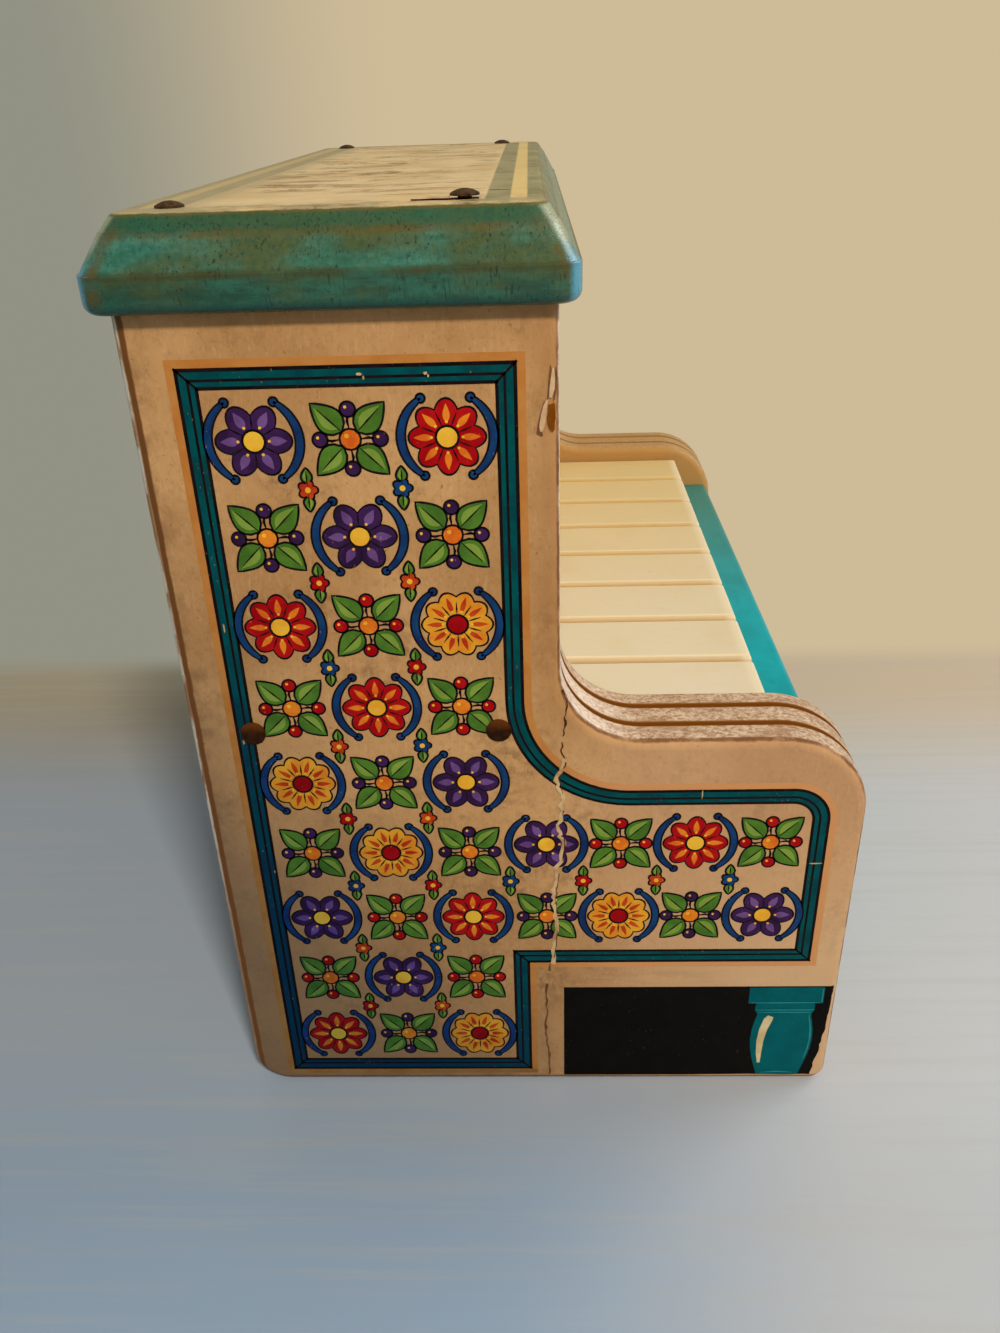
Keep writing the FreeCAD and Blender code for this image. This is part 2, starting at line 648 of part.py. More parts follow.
def tone_rod_length(index):
    """Free length of one rod: the pitch of a clamped rod goes with the square of its length."""
    longest = PANEL_HEIGHT - TONE_ROD_TOP_GAP - BLOCK_TOP
    return longest / 2 ** (SCALE_SEMITONES[index] / SEMITONES_PER_HALVING)


def tone_rod(index):
    rod = rod_z(KEY_CENTRES[index], BACK_RAIL_MIDDLE, BLOCK_TOP - TONE_ROD_SEAT,
                BLOCK_TOP + tone_rod_length(index), TONE_ROD_RADIUS)
    top = BLOCK_TOP + tone_rod_length(index)
    return rod.makeChamfer(TONE_ROD_CHAMFER, edges_where(rod, lambda point: same(point.z, top)))


def tone_block():
    """Cast bar that clamps the rods, screwed to the back rail."""
    half = KEY_CENTRES[-1] + BLOCK_END_MARGIN + TONE_ROD_RADIUS
    half_depth = BLOCK_DEPTH / 2
    block = board(half, BACK_RAIL_MIDDLE - half_depth, BACK_RAIL_MIDDLE + half_depth,
                  RAIL_TOP, BLOCK_TOP)
    block = block.makeFillet(BLOCK_EDGE_ROUND,
                             edges_where(block, lambda point: same(point.z, BLOCK_TOP)))
    rods = [tone_rod(i) for i in range(KEY_COUNT)]
    return block.cut(rods + [tone_block_screws()])


def hammer(x):
    """Bell crank on the hammer rod: a long shank with a round head and a short tail on the key."""
    pivot = (HAMMER_DEPTH, HAMMER_Z)
    boss = rod_x(x - HAMMER_BOSS_WIDTH / 2, x + HAMMER_BOSS_WIDTH / 2,
                 HAMMER_DEPTH, HAMMER_Z, HAMMER_BOSS_RADIUS)
    shank = link_x(pivot, HAMMER_SHANK_ROOT, (HEAD_DEPTH, HEAD_Z), HAMMER_SHANK_END,
                   x, HAMMER_SHANK_WIDTH)
    tail = link_x(pivot, HAMMER_TAIL_ROOT, (TIP_DEPTH, TIP_Z), HAMMER_TAIL_END,
                  x, HAMMER_SHANK_WIDTH)
    tip = rod_x(x - HAMMER_TIP_WIDTH / 2, x + HAMMER_TIP_WIDTH / 2,
                TIP_DEPTH, TIP_Z, HAMMER_TIP_RADIUS)
    head = rod_x(x - HAMMER_HEAD_WIDTH / 2, x + HAMMER_HEAD_WIDTH / 2,
                 HEAD_DEPTH, HEAD_Z, HAMMER_HEAD_RADIUS)
    rims = [edge for edge in head.Edges if same(edge.BoundBox.XMin, edge.BoundBox.XMax)]
    head = head.makeFillet(HAMMER_HEAD_ROUND, rims)
    bore = rod_x(x - HAMMER_BOSS_WIDTH, x + HAMMER_BOSS_WIDTH, HAMMER_DEPTH, HAMMER_Z,
                 HAMMER_ROD_RADIUS + RUNNING_CLEARANCE)
    return boss.multiFuse([shank, tail, tip, head]).removeSplitter().cut(bore)


def hammer_rod():
    reach = INNER_HALF + HAMMER_ROD_SEAT
    return rod_x(-reach, reach, HAMMER_DEPTH, HAMMER_Z, HAMMER_ROD_RADIUS)


def hammer_spacers():
    """Tubes on the hammer rod, which hold the hammers in line with their keys."""
    half_boss = HAMMER_BOSS_WIDTH / 2 + SPACER_SIDE_GAP
    starts = [-INNER_HALF] + [x + half_boss for x in KEY_CENTRES]
    ends = [x - half_boss for x in KEY_CENTRES] + [INNER_HALF]
    bore = HAMMER_ROD_RADIUS
    tubes = [rod_x(start, end, HAMMER_DEPTH, HAMMER_Z, bore + SPACER_WALL)
             for start, end in zip(starts, ends)]
    return Part.makeCompound(tubes).cut(hammer_rod())


def pieces():
    """Every node's name and solid."""
    named = {
        "left_side_panel": side_panel(-1),
        "right_side_panel": side_panel(1),
        "lid": lid(),
        "lid_nails": lid_nails(),
        "side_nails": side_nails(),
        "front_panel": front_panel(),
        "front_rail": front_rail(),
        "back_panel": back_panel(),
        "back_nails": back_nails(),
        "back_rail": back_rail(),
        "base_board": base_board(),
        "toe_board": toe_board(),
        "key_slip": key_slip(),
        "key_bed": key_bed().cut(guide_pins()),
        "key_guide_pins": guide_pins(),
        "balance_rail": balance_rail(),
        "pivot_plates": pivot_plates(),
        "key_pivot_rod": key_pivot_rod(),
        "key_rest_rail": key_rest_rail(),
        "key_rest_felt": key_rest_felt(),
        "key_stop_felt": key_stop_felt(),
        "tone_block": tone_block(),
        "tone_block_screws": tone_block_screws(),
        "hammer_rod": hammer_rod(),
        "hammer_spacers": hammer_spacers(),
    }
    for i, x in enumerate(KEY_CENTRES):
        named[f"key_lever_{i + 1}"] = key_lever(x)
        named[f"key_cap_{i + 1}"] = key_cap(x)
        named[f"hammer_{i + 1}"] = hammer(x)
        named[f"tone_rod_{i + 1}"] = tone_rod(i)
    return named


def main():
    os.makedirs("parts", exist_ok=True)
    for name, shape in pieces().items():
        shape.exportStep(f"parts/{name}.step")
        print(name, len(shape.Solids), "solid(s), volume", round(shape.Volume))


main()
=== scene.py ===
import json
import math

import bmesh
import bpy
from mathutils import Matrix, Vector, noise


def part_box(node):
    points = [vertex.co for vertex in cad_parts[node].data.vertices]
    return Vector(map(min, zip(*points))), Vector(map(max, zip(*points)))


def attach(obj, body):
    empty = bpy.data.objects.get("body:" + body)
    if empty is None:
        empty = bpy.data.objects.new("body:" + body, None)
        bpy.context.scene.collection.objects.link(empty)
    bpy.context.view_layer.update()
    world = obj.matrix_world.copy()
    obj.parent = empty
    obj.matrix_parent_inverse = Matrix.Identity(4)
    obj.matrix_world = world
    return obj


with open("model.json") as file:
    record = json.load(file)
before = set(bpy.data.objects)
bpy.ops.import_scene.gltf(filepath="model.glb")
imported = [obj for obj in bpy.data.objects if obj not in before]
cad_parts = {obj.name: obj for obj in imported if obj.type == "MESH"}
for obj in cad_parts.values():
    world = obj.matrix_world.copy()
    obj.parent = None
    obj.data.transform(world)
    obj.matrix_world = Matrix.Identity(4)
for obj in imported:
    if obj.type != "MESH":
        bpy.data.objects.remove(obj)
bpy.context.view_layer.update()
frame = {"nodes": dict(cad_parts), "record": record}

# Lengths are in millimetres and turned into metres where a mesh is made.
# On a side panel, u is the depth from its back edge towards the player and z is the height.
MM = 0.001
panel_low, panel_high = (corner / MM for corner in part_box("left_side_panel"))
lid_low, lid_high = (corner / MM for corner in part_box("lid"))
PANEL_BACK_Y = panel_high.y
RIGHT_BACK_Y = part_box("right_side_panel")[1].y / MM
PANEL_DEPTH = panel_high.y - panel_low.y
OUTER_HALF = -panel_low.x
INNER_HALF = -panel_high.x
PANEL_TOP = panel_high.z
LID_TOP = lid_high.z
LID_HALF = lid_high.x
LID_MIDDLE_Y = (lid_low.y + lid_high.y) / 2
LID_HALF_DEPTH = (lid_high.y - lid_low.y) / 2
KEY_PITCH = (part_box("key_cap_2")[0].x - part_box("key_cap_1")[0].x) / MM
KEY_FRONT_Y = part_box("key_cap_1")[0].y / MM
SIDE_NAIL_Z = sum(corner.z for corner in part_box("side_nails")) / 2 / MM

# Plywood's rounded edges and plies
PANEL_EDGE_ROUND = 2
TOE_RADIUS = 3.5
CORE_PLY = 1.3
FACE_PLY = (OUTER_HALF - INNER_HALF - 2 * CORE_PLY) / 3
CORE_PLY_CENTRES = (INNER_HALF + FACE_PLY + CORE_PLY / 2, OUTER_HALF - FACE_PLY - CORE_PLY / 2)

# Distances from the piano's middle plane between which a side panel's finish changes
OUTER_PAINT = (OUTER_HALF - 1.2, OUTER_HALF - 0.9)
INNER_PAINT = (INNER_HALF + 0.5, INNER_HALF + 0.9)
OUTER_RIM = (OUTER_HALF - 1.35, OUTER_HALF - 0.6)
OUTSIDE = (OUTER_HALF - 1.9, OUTER_HALF - 1.5)
INNER_SIDE = (OUTER_HALF - 5, OUTER_HALF - 2.5)
PALE_PLIES = (INNER_HALF + 3, INNER_HALF + 9)

# Depths and heights on a side panel between which its paint or ink changes
BORDER_DIRT = (1.5, 7)
BACK_CHIPS = (0.85, 1.15)
BACK_LINE = (1.15, 2.2)
FOOT_LINE = (1, 2.2)
NECK_DEPTHS = (62, 69)
NECK_HEIGHTS = (84, 102)
BEND_DEPTHS = (66, 77)
BEND_HEIGHTS = (84, 90)
SMUDGE_DEPTHS = (74, 104)
SMUDGE_HEIGHTS = (29.8, 33.6)
ARM_DEPTHS = (62, 92)
LOW_ARM_DEPTHS = (72, 118)
LOW_ARM_HEIGHTS = (28, 72)
CHIP_HEIGHTS = (35, 80)
INK_ARM_DEPTHS = (60, 84)
INK_FOOT = (3.5, 4.4)
# Sums of depth and height, each with its own weight, over which the painted shade in a lower back corner
# fades
CORNER_SHADE_SPAN = (26, 98)
INK_SHADE_SPAN = (40, 140)

# Lid's mouldings by height, bands on its top from the middle, its worn ends, middle and corners, and the band
# of painted reflections round its corners
FASCIA_TOP = PANEL_TOP + 6
CROWN_BASE = LID_TOP - 2.5
LID_BANDS = (23.65, 27.5, 30.1)
LID_END_BAND = 13
LID_OLIVE = (4, 18)
CORNER_RUB = (1, 3.8)
CORNER_REFLECTION = (-4, 0.4)

# Damage on the lid as (x, y, width): the gap and the flake from the loose nail, the crack from the middle
LID_NAIL_RADIUS = 2.3
LOOSE_NAIL_SHIFT = 1.7
LID_CRACK_OFF_NAIL = 14
LID_GAP_RISE = 0.2
LID_CRACK_RISE = 0.04
LID_FLAKE_RISE = 0.5
LID_GAP = [(-0.7, -2.2, 0.2), (-1.1, 0.6, 1), (-1.3, 2.4, 1.3), (-1.5, 3.4, 0.8), (-1.1, 4.6, 1.1),
           (-1.4, 6.2, 0.4), (-1.2, 8.2, 0.1)]
LID_CRACK = [(0, -23.9, 0.2), (0.5, -25.4, 0.6), (-0.1, -26.6, 0.4), (0.3, -27.3, 0.1)]
LID_FLAKE = [(-0.2, 2.3, 0.3), (-0.3, 2.9, 0.8), (-0.4, 3.8, 1), (-0.4, 4.7, 0.6), (-0.3, 5.6, 0.2)]

# Key covers: distances past each gap, and places along y at the front, between which painted highlights and
# painted shade change the tone
KEY_GLEAM = (1.6, 2.4)
KEY_START_SHADE = (0.3, 2)
KEY_END_SHADE = (KEY_PITCH - 0.8, KEY_PITCH - 0.3)
KEY_FRONT_HIGHLIGHT = (KEY_FRONT_Y + 1, KEY_FRONT_Y + 3.2)

# Printed frame on a side panel: outer corners as (u, z, radius)
FRAME_CORNERS = [
    (8.75, 3.9, 0), (62.85, 3.9, 0), (62.85, 36, 0), (121.5, 36, 0),
    (121.5, 80, 7.5), (62.85, 80, 20), (62.85, 161.5, 0), (8.75, 161.5, 0),
]
FRAME_WIDTH = 3.5
FRAME_LINES = ((0, 0.6), (1.75, 2.2), (2.95, 3.5))
MITRE_WIDTH = 0.4
PEACH_WIDTH = 1.35
ARC_STEPS = 16

# Printed black block, worn at its front and foot
BLOCK_LEFT = 70
BLOCK_RIGHT = 127.3
BLOCK_BOTTOM = 1.6
BLOCK_TOP = 28.8
BLOCK_WEAR = 2.4
BLOCK_RAGGED = 0.35
BLOCK_FOOT_WEAR = 0.3
BLOCK_ROWS = 28
BLOCK_COLUMNS = (0, 0.25, 0.5, 0.75, 0.9, 0.94, 0.96, 0.975, 0.99, 1)

# Turned leg on the block: half widths by height, shine as (u, z, width), rings as (half width, height)
LEG_MIDDLE = 117.65
LEG_CAP = (109.7, 23.9, 125.6, 28.5)
LEG_PROFILE = ((2, 4.6), (4, 5.1), (7, 5.9), (10, 6.5), (13, 6.75), (16, 6.6),
               (18.5, 6.2), (20.3, 5.8), (20.9, 5.85), (21.4, 6.15), (22.2, 6.35), (23.2, 6.35),
               (24, 6.1))
LEG_SHINE = ((114.8, 20, 1.3), (114.3, 18.9, 1.9), (113.5, 16, 1.7), (113.1, 12.5, 1.5),
             (113.1, 9, 1.2), (113.3, 5.8, 0.6))
LEG_RINGS = ((LEG_MIDDLE - LEG_CAP[0] - 0.6, LEG_CAP[1] + 0.15), (6.3, 21.9), (5.6, 21.2))
LEG_FOOT = ((-3.6, 2.6), (0, 2.9), (3.6, 2.6))
FLANK_LINE = 0.35
CAP_LINE = 0.3
RING_LINE = 0.26
FOOT_WIDTH = 0.3

# Height of each ink over the one below it, and how deep its plates are sunk in the paint
INK_STEP = 0.02
INK_SINK = 0.05

# Floral repeat: cells of the tall part and of the arm as (left, right, bottom, top, columns, rows, start)
TALL_CELLS = (12.1, 59.25, 6.8, 158, 3, 9, 0)
ARM_CELLS = (59.25, 117.8, 39.5, 76.6, 4, 2, 1)
# Inks of each flower: petals, streaks and heart, with the number of petals and how deep they part
FLOWERS = {
    "rosette": ("red", "orange", "yellow", 8, 0.24),
    "daisy": ("purple", "light_purple", "yellow", 6, 0.34),
    "marigold": ("gold", "rust", "red_heart", 10, 0.16),
}
# Sizes of the motifs: leaves as (length, width), scrolls as (outline, ink), the stem as points
OUTLINE_WIDTH = 0.38
FLOWER_RADIUS = 6.1
CREASE_WIDTH = 0.32
DOT_RADIUS = 0.26
LEAF_STEPS = 9
VEIN_START = -0.6
VEIN_WIDTH = 0.3
SCROLL_RADIUS = 7.5
SCROLL_TURN = 58
SCROLL_STEPS = 18
SCROLL_WIDTHS = (1.8, 1.1)
SCROLL_END = 0.55
SPRIG_LEAF = (6.3, 4.1)
SPRIG_LEAF_START = 1.9
SPRIG_STEM = ((1.6, 0), (3, 0.25), (4.3, 0))
STEM_WIDTH = 0.5
SPRIG_REACH = 4.9
SPRIG_BERRY = 1.05
SPRIG_HEART = 1.55
BLOSSOM_RADIUS = 1.55
BLOSSOM_HEART = 0.5
BLOSSOM_LEAF = (2.3, 1.5)
BLOSSOM_LEAF_START = 1.3

# Crack down the near panel, from the neck to the floor, as (u, z)
CRACK = [
    (69.9, 102.4), (70.6, 100.2), (70.5, 97.7), (70.1, 93.8), (69.5, 91.2), (69.9, 85.8),
    (68.6, 82.6), (69.7, 77.9), (68.9, 70.8), (69.9, 67.8), (68.4, 58.3), (67.8, 53.1),
    (68.4, 47.7), (67.9, 39.5), (66.1, 28), (66.5, 22), (65.8, 16), (66.6, 9.7), (66.8, 2.2),
]
CRACK_POINTS = 6
CRACK_WANDER = 0.18
TORN_HEIGHTS = (35, 88)
TORN_WIDTH = 0.75
TORN_UNEVEN = 0.7
TORN_WANDER = 0.9
# Dark stretches of the crack as (ink, low, high, width), beside the torn paint down to the split's foot
SPLIT_FOOT = 36
DARK_ASIDE = 0.5
DARK_WANDER = 0.4
DARK_UNEVEN = 0.55
CRACK_DARK = (("split", 87, 104, 0.22), ("split", SPLIT_FOOT, 87, 0.12),
              ("shadow_brown", 0, SPLIT_FOOT, 0.3))
NARROWEST_DASH = 0.05

# Chip at the near panel's front edge: lines of shadow and of curled paint as (u, z, width)
CHIP_SHADOWS = (
    [(67.1, 155, 0.15), (66.5, 153, 0.25), (66.15, 151.2, 0.35), (66.2, 150, 0.9), (66.7, 149.5, 0.3)],
    [(68.1, 160.6, 0.12), (67.95, 158.6, 0.3), (67.75, 156.6, 0.22), (67.6, 155.4, 0.1)],
    [(68.95, 160.4, 0.15), (68.95, 158.6, 0.4), (68.8, 156.6, 0.3), (68.6, 155.2, 0.15)],
)
CHIP_CURLS = (
    [(67.5, 155.2, 0.25), (67.15, 154.2, 0.6), (66.95, 153, 0.85), (66.75, 151.8, 0.9), (66.6, 150.9, 0.8),
     (66.5, 150.2, 0.35)],
    [(68.5, 160.2, 0.3), (68.45, 158.6, 0.7), (68.3, 157, 0.8), (68, 155.6, 0.4)],
)
# The chip's bare patch, and nicks in the near panel's paint, as (u, z, width, height)
CHIP_BARE = (68.2, 152.4, 1.35, 4.6)
NICKS = [(38, 160, 0.9, 0.5), (38.7, 159.4, 0.35, 0.6), (48.5, 159.9, 0.7, 0.4), (48.9, 159.5, 0.3, 0.5),
         (9.9, 116, 0.3, 1.6), (9.9, 92, 0.35, 1), (96.5, 79, 0.25, 1.8), (119.7, 62, 2.4, 0.25)]
BLOB_STEPS = 14

# Camera fitted to the photograph: lengths in pixels, then yaw, pitch and roll in degrees, and its place
PHOTO_HEIGHT = 1333
FOCAL_PIXELS = 1062.641
SENSOR = 36
CLIP_START = 10
CAMERA_ANGLES = (-2.27533, 28.51203, 1.95272)
CAMERA_X = -OUTER_HALF - 167.694
CAMERA_Y = PANEL_BACK_Y - 65.279
CAMERA_Z = 198.574

# Floor, with its radius in metres and the places along y, or x, over which its tone turns, painted shade
# included
FLOOR_RADIUS = 6
FLOOR_SIDES = 64
FLOOR_SHADE_FADE = (-110, 90)
FLOOR_NEAR_SHADE_FADE = (-75, 12)
FLOOR_WARMING = (0, 80)
FLOOR_NEAR_SHADE_SPAN = (-140, -75)
# Where the floor turns into the backdrop, along x and by distance from the middle
FLOOR_TURN = (92, 112)
FLOOR_END = (330, 800)
# Share of a level direction that points to the piano's back, over which the backdrop turns darker as painted
# shade
WALL_SHADE_FADE = (0.387, 0.1)

# Even room light, and lamps as (name, place in metres, size in metres, watts, colour, seen in shiny paint)
ROOM_LIGHT = 0.3
ROOM_COLOUR = (1, 0.965, 0.91, 1)
LAMPS = (
    ("window", (0.35, -0.95, 0.7), 0.6, 6.5, (0.8, 0.92, 1), True),
    ("lamp", (-0.72, -0.24, 0.77), 0.1, 7.2, (1, 0.93, 0.84), False),
    ("back_window", (-0.25, 1, 0.5), 0.4, 1.4, (0.6, 0.85, 1), True),
)

# Colours, as 8-bit screen colours
TAN = (178, 131, 81)
PALE_TAN = (200, 153, 100)
PINK_TAN = (204, 160, 122)
NECK_TAN = (160, 110, 60)
DIRT = (104, 70, 38)
# Painted shade in a side panel's lower back corner
CORNER_SHADE_COLOUR = (99, 83, 64)
RIM_BROWN = (100, 58, 20)
PALE_FIBRE = (226, 190, 146)
PLY_LIGHT = (212, 187, 158)
PLY_BROWN = (150, 108, 74)
PLY_FAR = (178, 134, 70)
PLY_CORE = (130, 76, 18)
BARE_PLY = (206, 194, 176)
WORN_PLY_HIGHLIGHT = (246, 226, 206)
CREAM = (214, 186, 138)
DULL_CREAM = (200, 170, 120)
SAGE = (146, 138, 100)
# Painted reflection round the lid's corners, higher up
SAGE_REFLECTION = (172, 172, 138)
OCHRE = (212, 182, 116)
TEAL = (38, 98, 80)
DEEP_TEAL = (22, 66, 52)
LIGHT_TEAL = (66, 124, 106)
GREEN_TEAL = (36, 86, 58)
SLIP_TEAL = (0, 158, 166)
SLIP_SHADE = (0, 144, 150)
# Painted shade over the slip's far end
SLIP_FAR_SHADE = (62, 124, 110)
# Painted reflection of the sky round the lid's corners, low down
SKY_REFLECTION = (84, 158, 186)
OLIVE = (74, 75, 24)
DARK_OLIVE = (56, 58, 24)
BARE_BROWN = (96, 78, 32)
STREAK_BROWN = (126, 98, 62)
FADED_BACK = (166, 148, 110)
FLECK = (18, 38, 28)
# Tint multiplied into the inks as painted shade towards the lower back corner, and to darken the peach at its
# foot
INK_SHADE_AND_FOOT_TINT = (176, 202, 242)
DARK_INK = (14, 11, 10)
FLOOR_GRAIN = (176, 172, 164)
# Tones of the floor from right to left, and of the backdrop from left to right; painted shade darkens both to
# the left and cools the floor near the camera
FLOOR_SHADE_TONES = ((194, 193, 193), (156, 166, 176))
FLOOR_NEAR_SHADE_TONES = ((180, 182, 184), (140, 160, 180))
FLOOR_FAR_SHADE_TONES = ((200, 180, 154), (164, 152, 128))
WALL_SHADE_TONES = ((146, 146, 132), (206, 187, 152))


def linear(colour):
    """Linear colour of an 8-bit screen colour; a node's value stays as it is."""
    if isinstance(colour, Value):
        return colour
    shares = [level / 255 for level in colour]
    return [share / 12.92 if share <= 0.04045 else ((share + 0.055) / 1.055) ** 2.4
            for share in shares] + [1]


class Value:
    """One output of a node. Arithmetic with it adds the nodes that work the result out."""

    def __init__(self, nodes, socket):
        self.nodes = nodes
        self.socket = socket

    def __add__(self, other):
        return self.nodes.math("ADD", self, other)

    def __sub__(self, other):
        return self.nodes.math("SUBTRACT", self, other)

    def __rsub__(self, other):
        return self.nodes.math("SUBTRACT", other, self)

    def __mul__(self, other):
        return self.nodes.math("MULTIPLY", self, other)

    def __abs__(self):
        return self.nodes.math("ABSOLUTE", self)

    def step(self, low, high, start, end):
        """Smooth change from a start to an end while this value goes from low to high."""
        inputs = dict(enumerate((self, low, high, start, end)))
        return self.nodes.made("ShaderNodeMapRange", inputs, interpolation_type="SMOOTHSTEP")

    def rise(self, low, high, top=1):
        return self.step(low, high, 0, top)

    def fall(self, low, high, top=1):
        return self.step(low, high, top, 0)

    def band(self, low, high, soft):
        """1 between two values and 0 outside, with soft ends."""
        return self.rise(low - soft, low + soft) * self.fall(high - soft, high + soft)

    def shaken(self, amount, size, shift=0):
        """This value moved up and down by noise."""
        return self + (self.nodes.noise(size, shift=shift) - 0.5) * (2 * amount)

    def tones(self, low, high, first, second):
        """A first colour that turns to a second while this value goes from low to high."""
        return self.nodes.mix(self.rise(low, high), first, second)

    def cover(self, *coats):
        """This colour under coats of others, each given as a share and a colour."""
        colour = self
        for share, coat in coats:
            colour = self.nodes.mix(share, colour, coat)
        return colour


class Nodes:
    """Nodes of one material or of the world."""

    def __init__(self, tree):
        self.tree = tree

    def feed(self, socket, value):
        """Link a value to a socket, or set the socket's own value."""
        if isinstance(value, Value):
            self.tree.links.new(value.socket, socket)
        else:
            socket.default_value = value

    def made(self, kind, inputs, output=0, **settings):
        """Value of a new node whose inputs, by number or name, are given."""
        node = self.tree.nodes.new(kind)
        for key, setting in settings.items():
            setattr(node, key, setting)
        for key, value in inputs.items():
            self.feed(node.inputs[key], value)
        return Value(self, node.outputs[output])

    def math(self, operation, first, second=0):
        return self.made("ShaderNodeMath", {0: first, 1: second}, operation=operation)

    def mix(self, share, first, second, blend="MIX"):
        inputs = {0: share, 6: linear(first), 7: linear(second)}
        return self.made("ShaderNodeMix", inputs, 2, data_type="RGBA", blend_type=blend)

    def most(self, first, second):
        return self.math("MAXIMUM", first, second)

    def length(self, first, second):
        """Distance of a point by its two sides."""
        return self.math("SQRT", first * first + second * second)

    def split(self, vector):
        return [self.made("ShaderNodeSeparateXYZ", {0: vector}, axis) for axis in range(3)]

    def wall(self, kind, towards_back):
        """Backdrop's shader, with painted shade that darkens it the further a level direction points to the
        piano's back.
        """
        return self.made(kind, {"Color": towards_back.tones(*WALL_SHADE_FADE, *WALL_SHADE_TONES)})

    def seen_ray(self):
        """1 for what the camera sees, by itself or in shiny paint."""
        kinds = ("Is Camera Ray", "Is Glossy Ray")
        return self.most(*[self.made("ShaderNodeLightPath", {}, kind) for kind in kinds])

    def surface(self, output, share, shader, wall):
        """Let the backdrop take the place of a shader by a share."""
        blend = self.made("ShaderNodeMixShader", {0: share, 1: Value(self, shader.outputs[0]), 2: wall})
        self.feed(self.tree.nodes[output].inputs["Surface"], blend)


class Paint(Nodes):
    """One material, with places in millimetres of the piece's own frame."""

    def __init__(self, name, roughness=0.5, specular=0.35, metallic=0):
        self.material = bpy.data.materials.new(name)
        self.material.use_nodes = True
        super().__init__(self.material.node_tree)
        self.shader = self.tree.nodes["Principled BSDF"]
        constants = {"Roughness": roughness, "Specular IOR Level": specular, "Metallic": metallic}
        for socket, value in constants.items():
            self.shader.inputs[socket].default_value = value
        metres = self.made("ShaderNodeTexCoord", {}, "Object")
        self.place = self.made("ShaderNodeVectorMath", {0: metres, "Scale": 1 / MM}, operation="SCALE")
        self.x, self.y, self.z = self.split(self.place)

    def noise(self, size, stretch=(1, 1, 1), detail=4, rough=0.6, shift=0):
        """Noise from 0 to 1 with features of about one size, stretched along each axis."""
        scale = [1 / (size * share) for share in stretch]
        inputs = {"Vector": self.place, "Scale": scale, "Location": (shift, shift, shift)}
        mapped = self.made("ShaderNodeMapping", inputs)
        inputs = {"Vector": mapped, "Scale": 1, "Detail": detail, "Roughness": rough}
        return self.made("ShaderNodeTexNoise", inputs, "Fac")

    def roughness(self, value, low, high):
        """Roughness that follows a value from 0 to 1."""
        self.feed(self.shader.inputs["Roughness"], value.step(0, 1, low, high))

    def finished(self, colour, height, depth, strength):
        """The material in a colour, with a relief that follows a height."""
        self.feed(self.shader.inputs["Base Color"], colour)
        inputs = {"Strength": strength, "Distance": depth * MM, "Height": height}
        self.feed(self.shader.inputs["Normal"], self.made("ShaderNodeBump", inputs))
        return self.material


def panel_depth(paint):
    """Distance from the back edge of the side panel on the same side."""
    on_right = paint.math("GREATER_THAN", paint.x, 0)
    return on_right * (RIGHT_BACK_Y - PANEL_BACK_Y) + PANEL_BACK_Y - paint.y


def corner_shade(paint):
    """Share of the painted shade that darkens a side panel towards its lower back corner."""
    low = paint.z * 0.6 + panel_depth(paint) * 0.9
    return low.shaken(8, 22).fall(*CORNER_SHADE_SPAN)


def panel_face(paint, depth, grain):
    """Aged cream paint, stained and specked, with dirt along its borders and painted shade in its lower back
    corner.
    """
    stain = paint.noise(14, detail=6, shift=3).rise(0.48, 0.68) * paint.noise(2.2, shift=5).rise(0.38, 0.65)
    mottle = paint.noise(0.9, (1, 1, 1.2), detail=5, rough=0.75, shift=4)
    border = paint.most(depth.fall(*BORDER_DIRT), paint.z.fall(*BORDER_DIRT))
    return paint.noise(30, detail=3).tones(0.35, 0.65, TAN, PALE_TAN).cover(
        (grain.rise(0.5, 0.8, 0.2), TAN),
        (stain * 0.5, DIRT),
        (paint.noise(1.1, detail=2, shift=9).rise(0.68, 0.73) * 0.5, DIRT),
        (mottle.rise(0.46, 0.72, 0.28), DIRT),
        (paint.noise(0.5, (1, 1, 5), detail=3, shift=6).rise(0.56, 0.7, 0.18), PALE_FIBRE),
        (border * paint.noise(4, detail=6, shift=7).rise(0.4, 0.66) * 0.4, DIRT),
        # Painted shade towards the lower back corner
        (corner_shade(paint) * 0.84, CORNER_SHADE_COLOUR),
    )


def neck_and_arm(paint, depth, face):
    """Browner paint at the neck, a dirty line over the black block and paler paint on the arm."""
    over_block = paint.z.band(*SMUDGE_HEIGHTS, 1.2) * depth.band(*SMUDGE_DEPTHS, 5)
    return face.cover(
        (depth.rise(*NECK_DEPTHS) * paint.z.rise(*NECK_HEIGHTS, 0.55), NECK_TAN),
        (over_block * paint.noise(1.6, (1, 5, 1), detail=6, shift=15).rise(0.42, 0.66, 0.4), DIRT),
        (depth.rise(*ARM_DEPTHS, 0.4), PINK_TAN),
        (depth.rise(*LOW_ARM_DEPTHS) * paint.z.fall(*LOW_ARM_HEIGHTS, 0.45), PALE_FIBRE),
    )


def panel_edge(paint, depth, across, far, streak):
    """Bare mottled plies, pale with wear and a painted highlight round the bend of the neck, with shrunken
    core plies between them.
    """
    bend = depth.band(*BEND_DEPTHS, 10) * paint.z.rise(*BEND_HEIGHTS)
    bend = bend * across.step(*PALE_PLIES, 0.2, 0.9) * streak.step(0.4, 0.7, 1, 0.45)
    ply = across.shaken(0.12, 3)
    core = [ply.band(centre - CORE_PLY * 0.85, centre + CORE_PLY * 0.6, 0.2) for centre in CORE_PLY_CENTRES]
    return streak.tones(0.38, 0.64, PLY_LIGHT, PLY_BROWN).cover(
        (paint.noise(7, (0.5, 1.5, 1.5), shift=6).rise(0.45, 0.7, 0.6), PLY_BROWN),
        # Pale worn plies with a painted highlight round the neck's bend
        (bend, WORN_PLY_HIGHLIGHT),
        (far, PLY_FAR),
        (paint.noise(0.5, detail=3, shift=4).rise(0.58, 0.68) * 0.45, DIRT),
        (paint.most(*core), paint.mix(far, PLY_CORE, PLY_FAR)),
    )


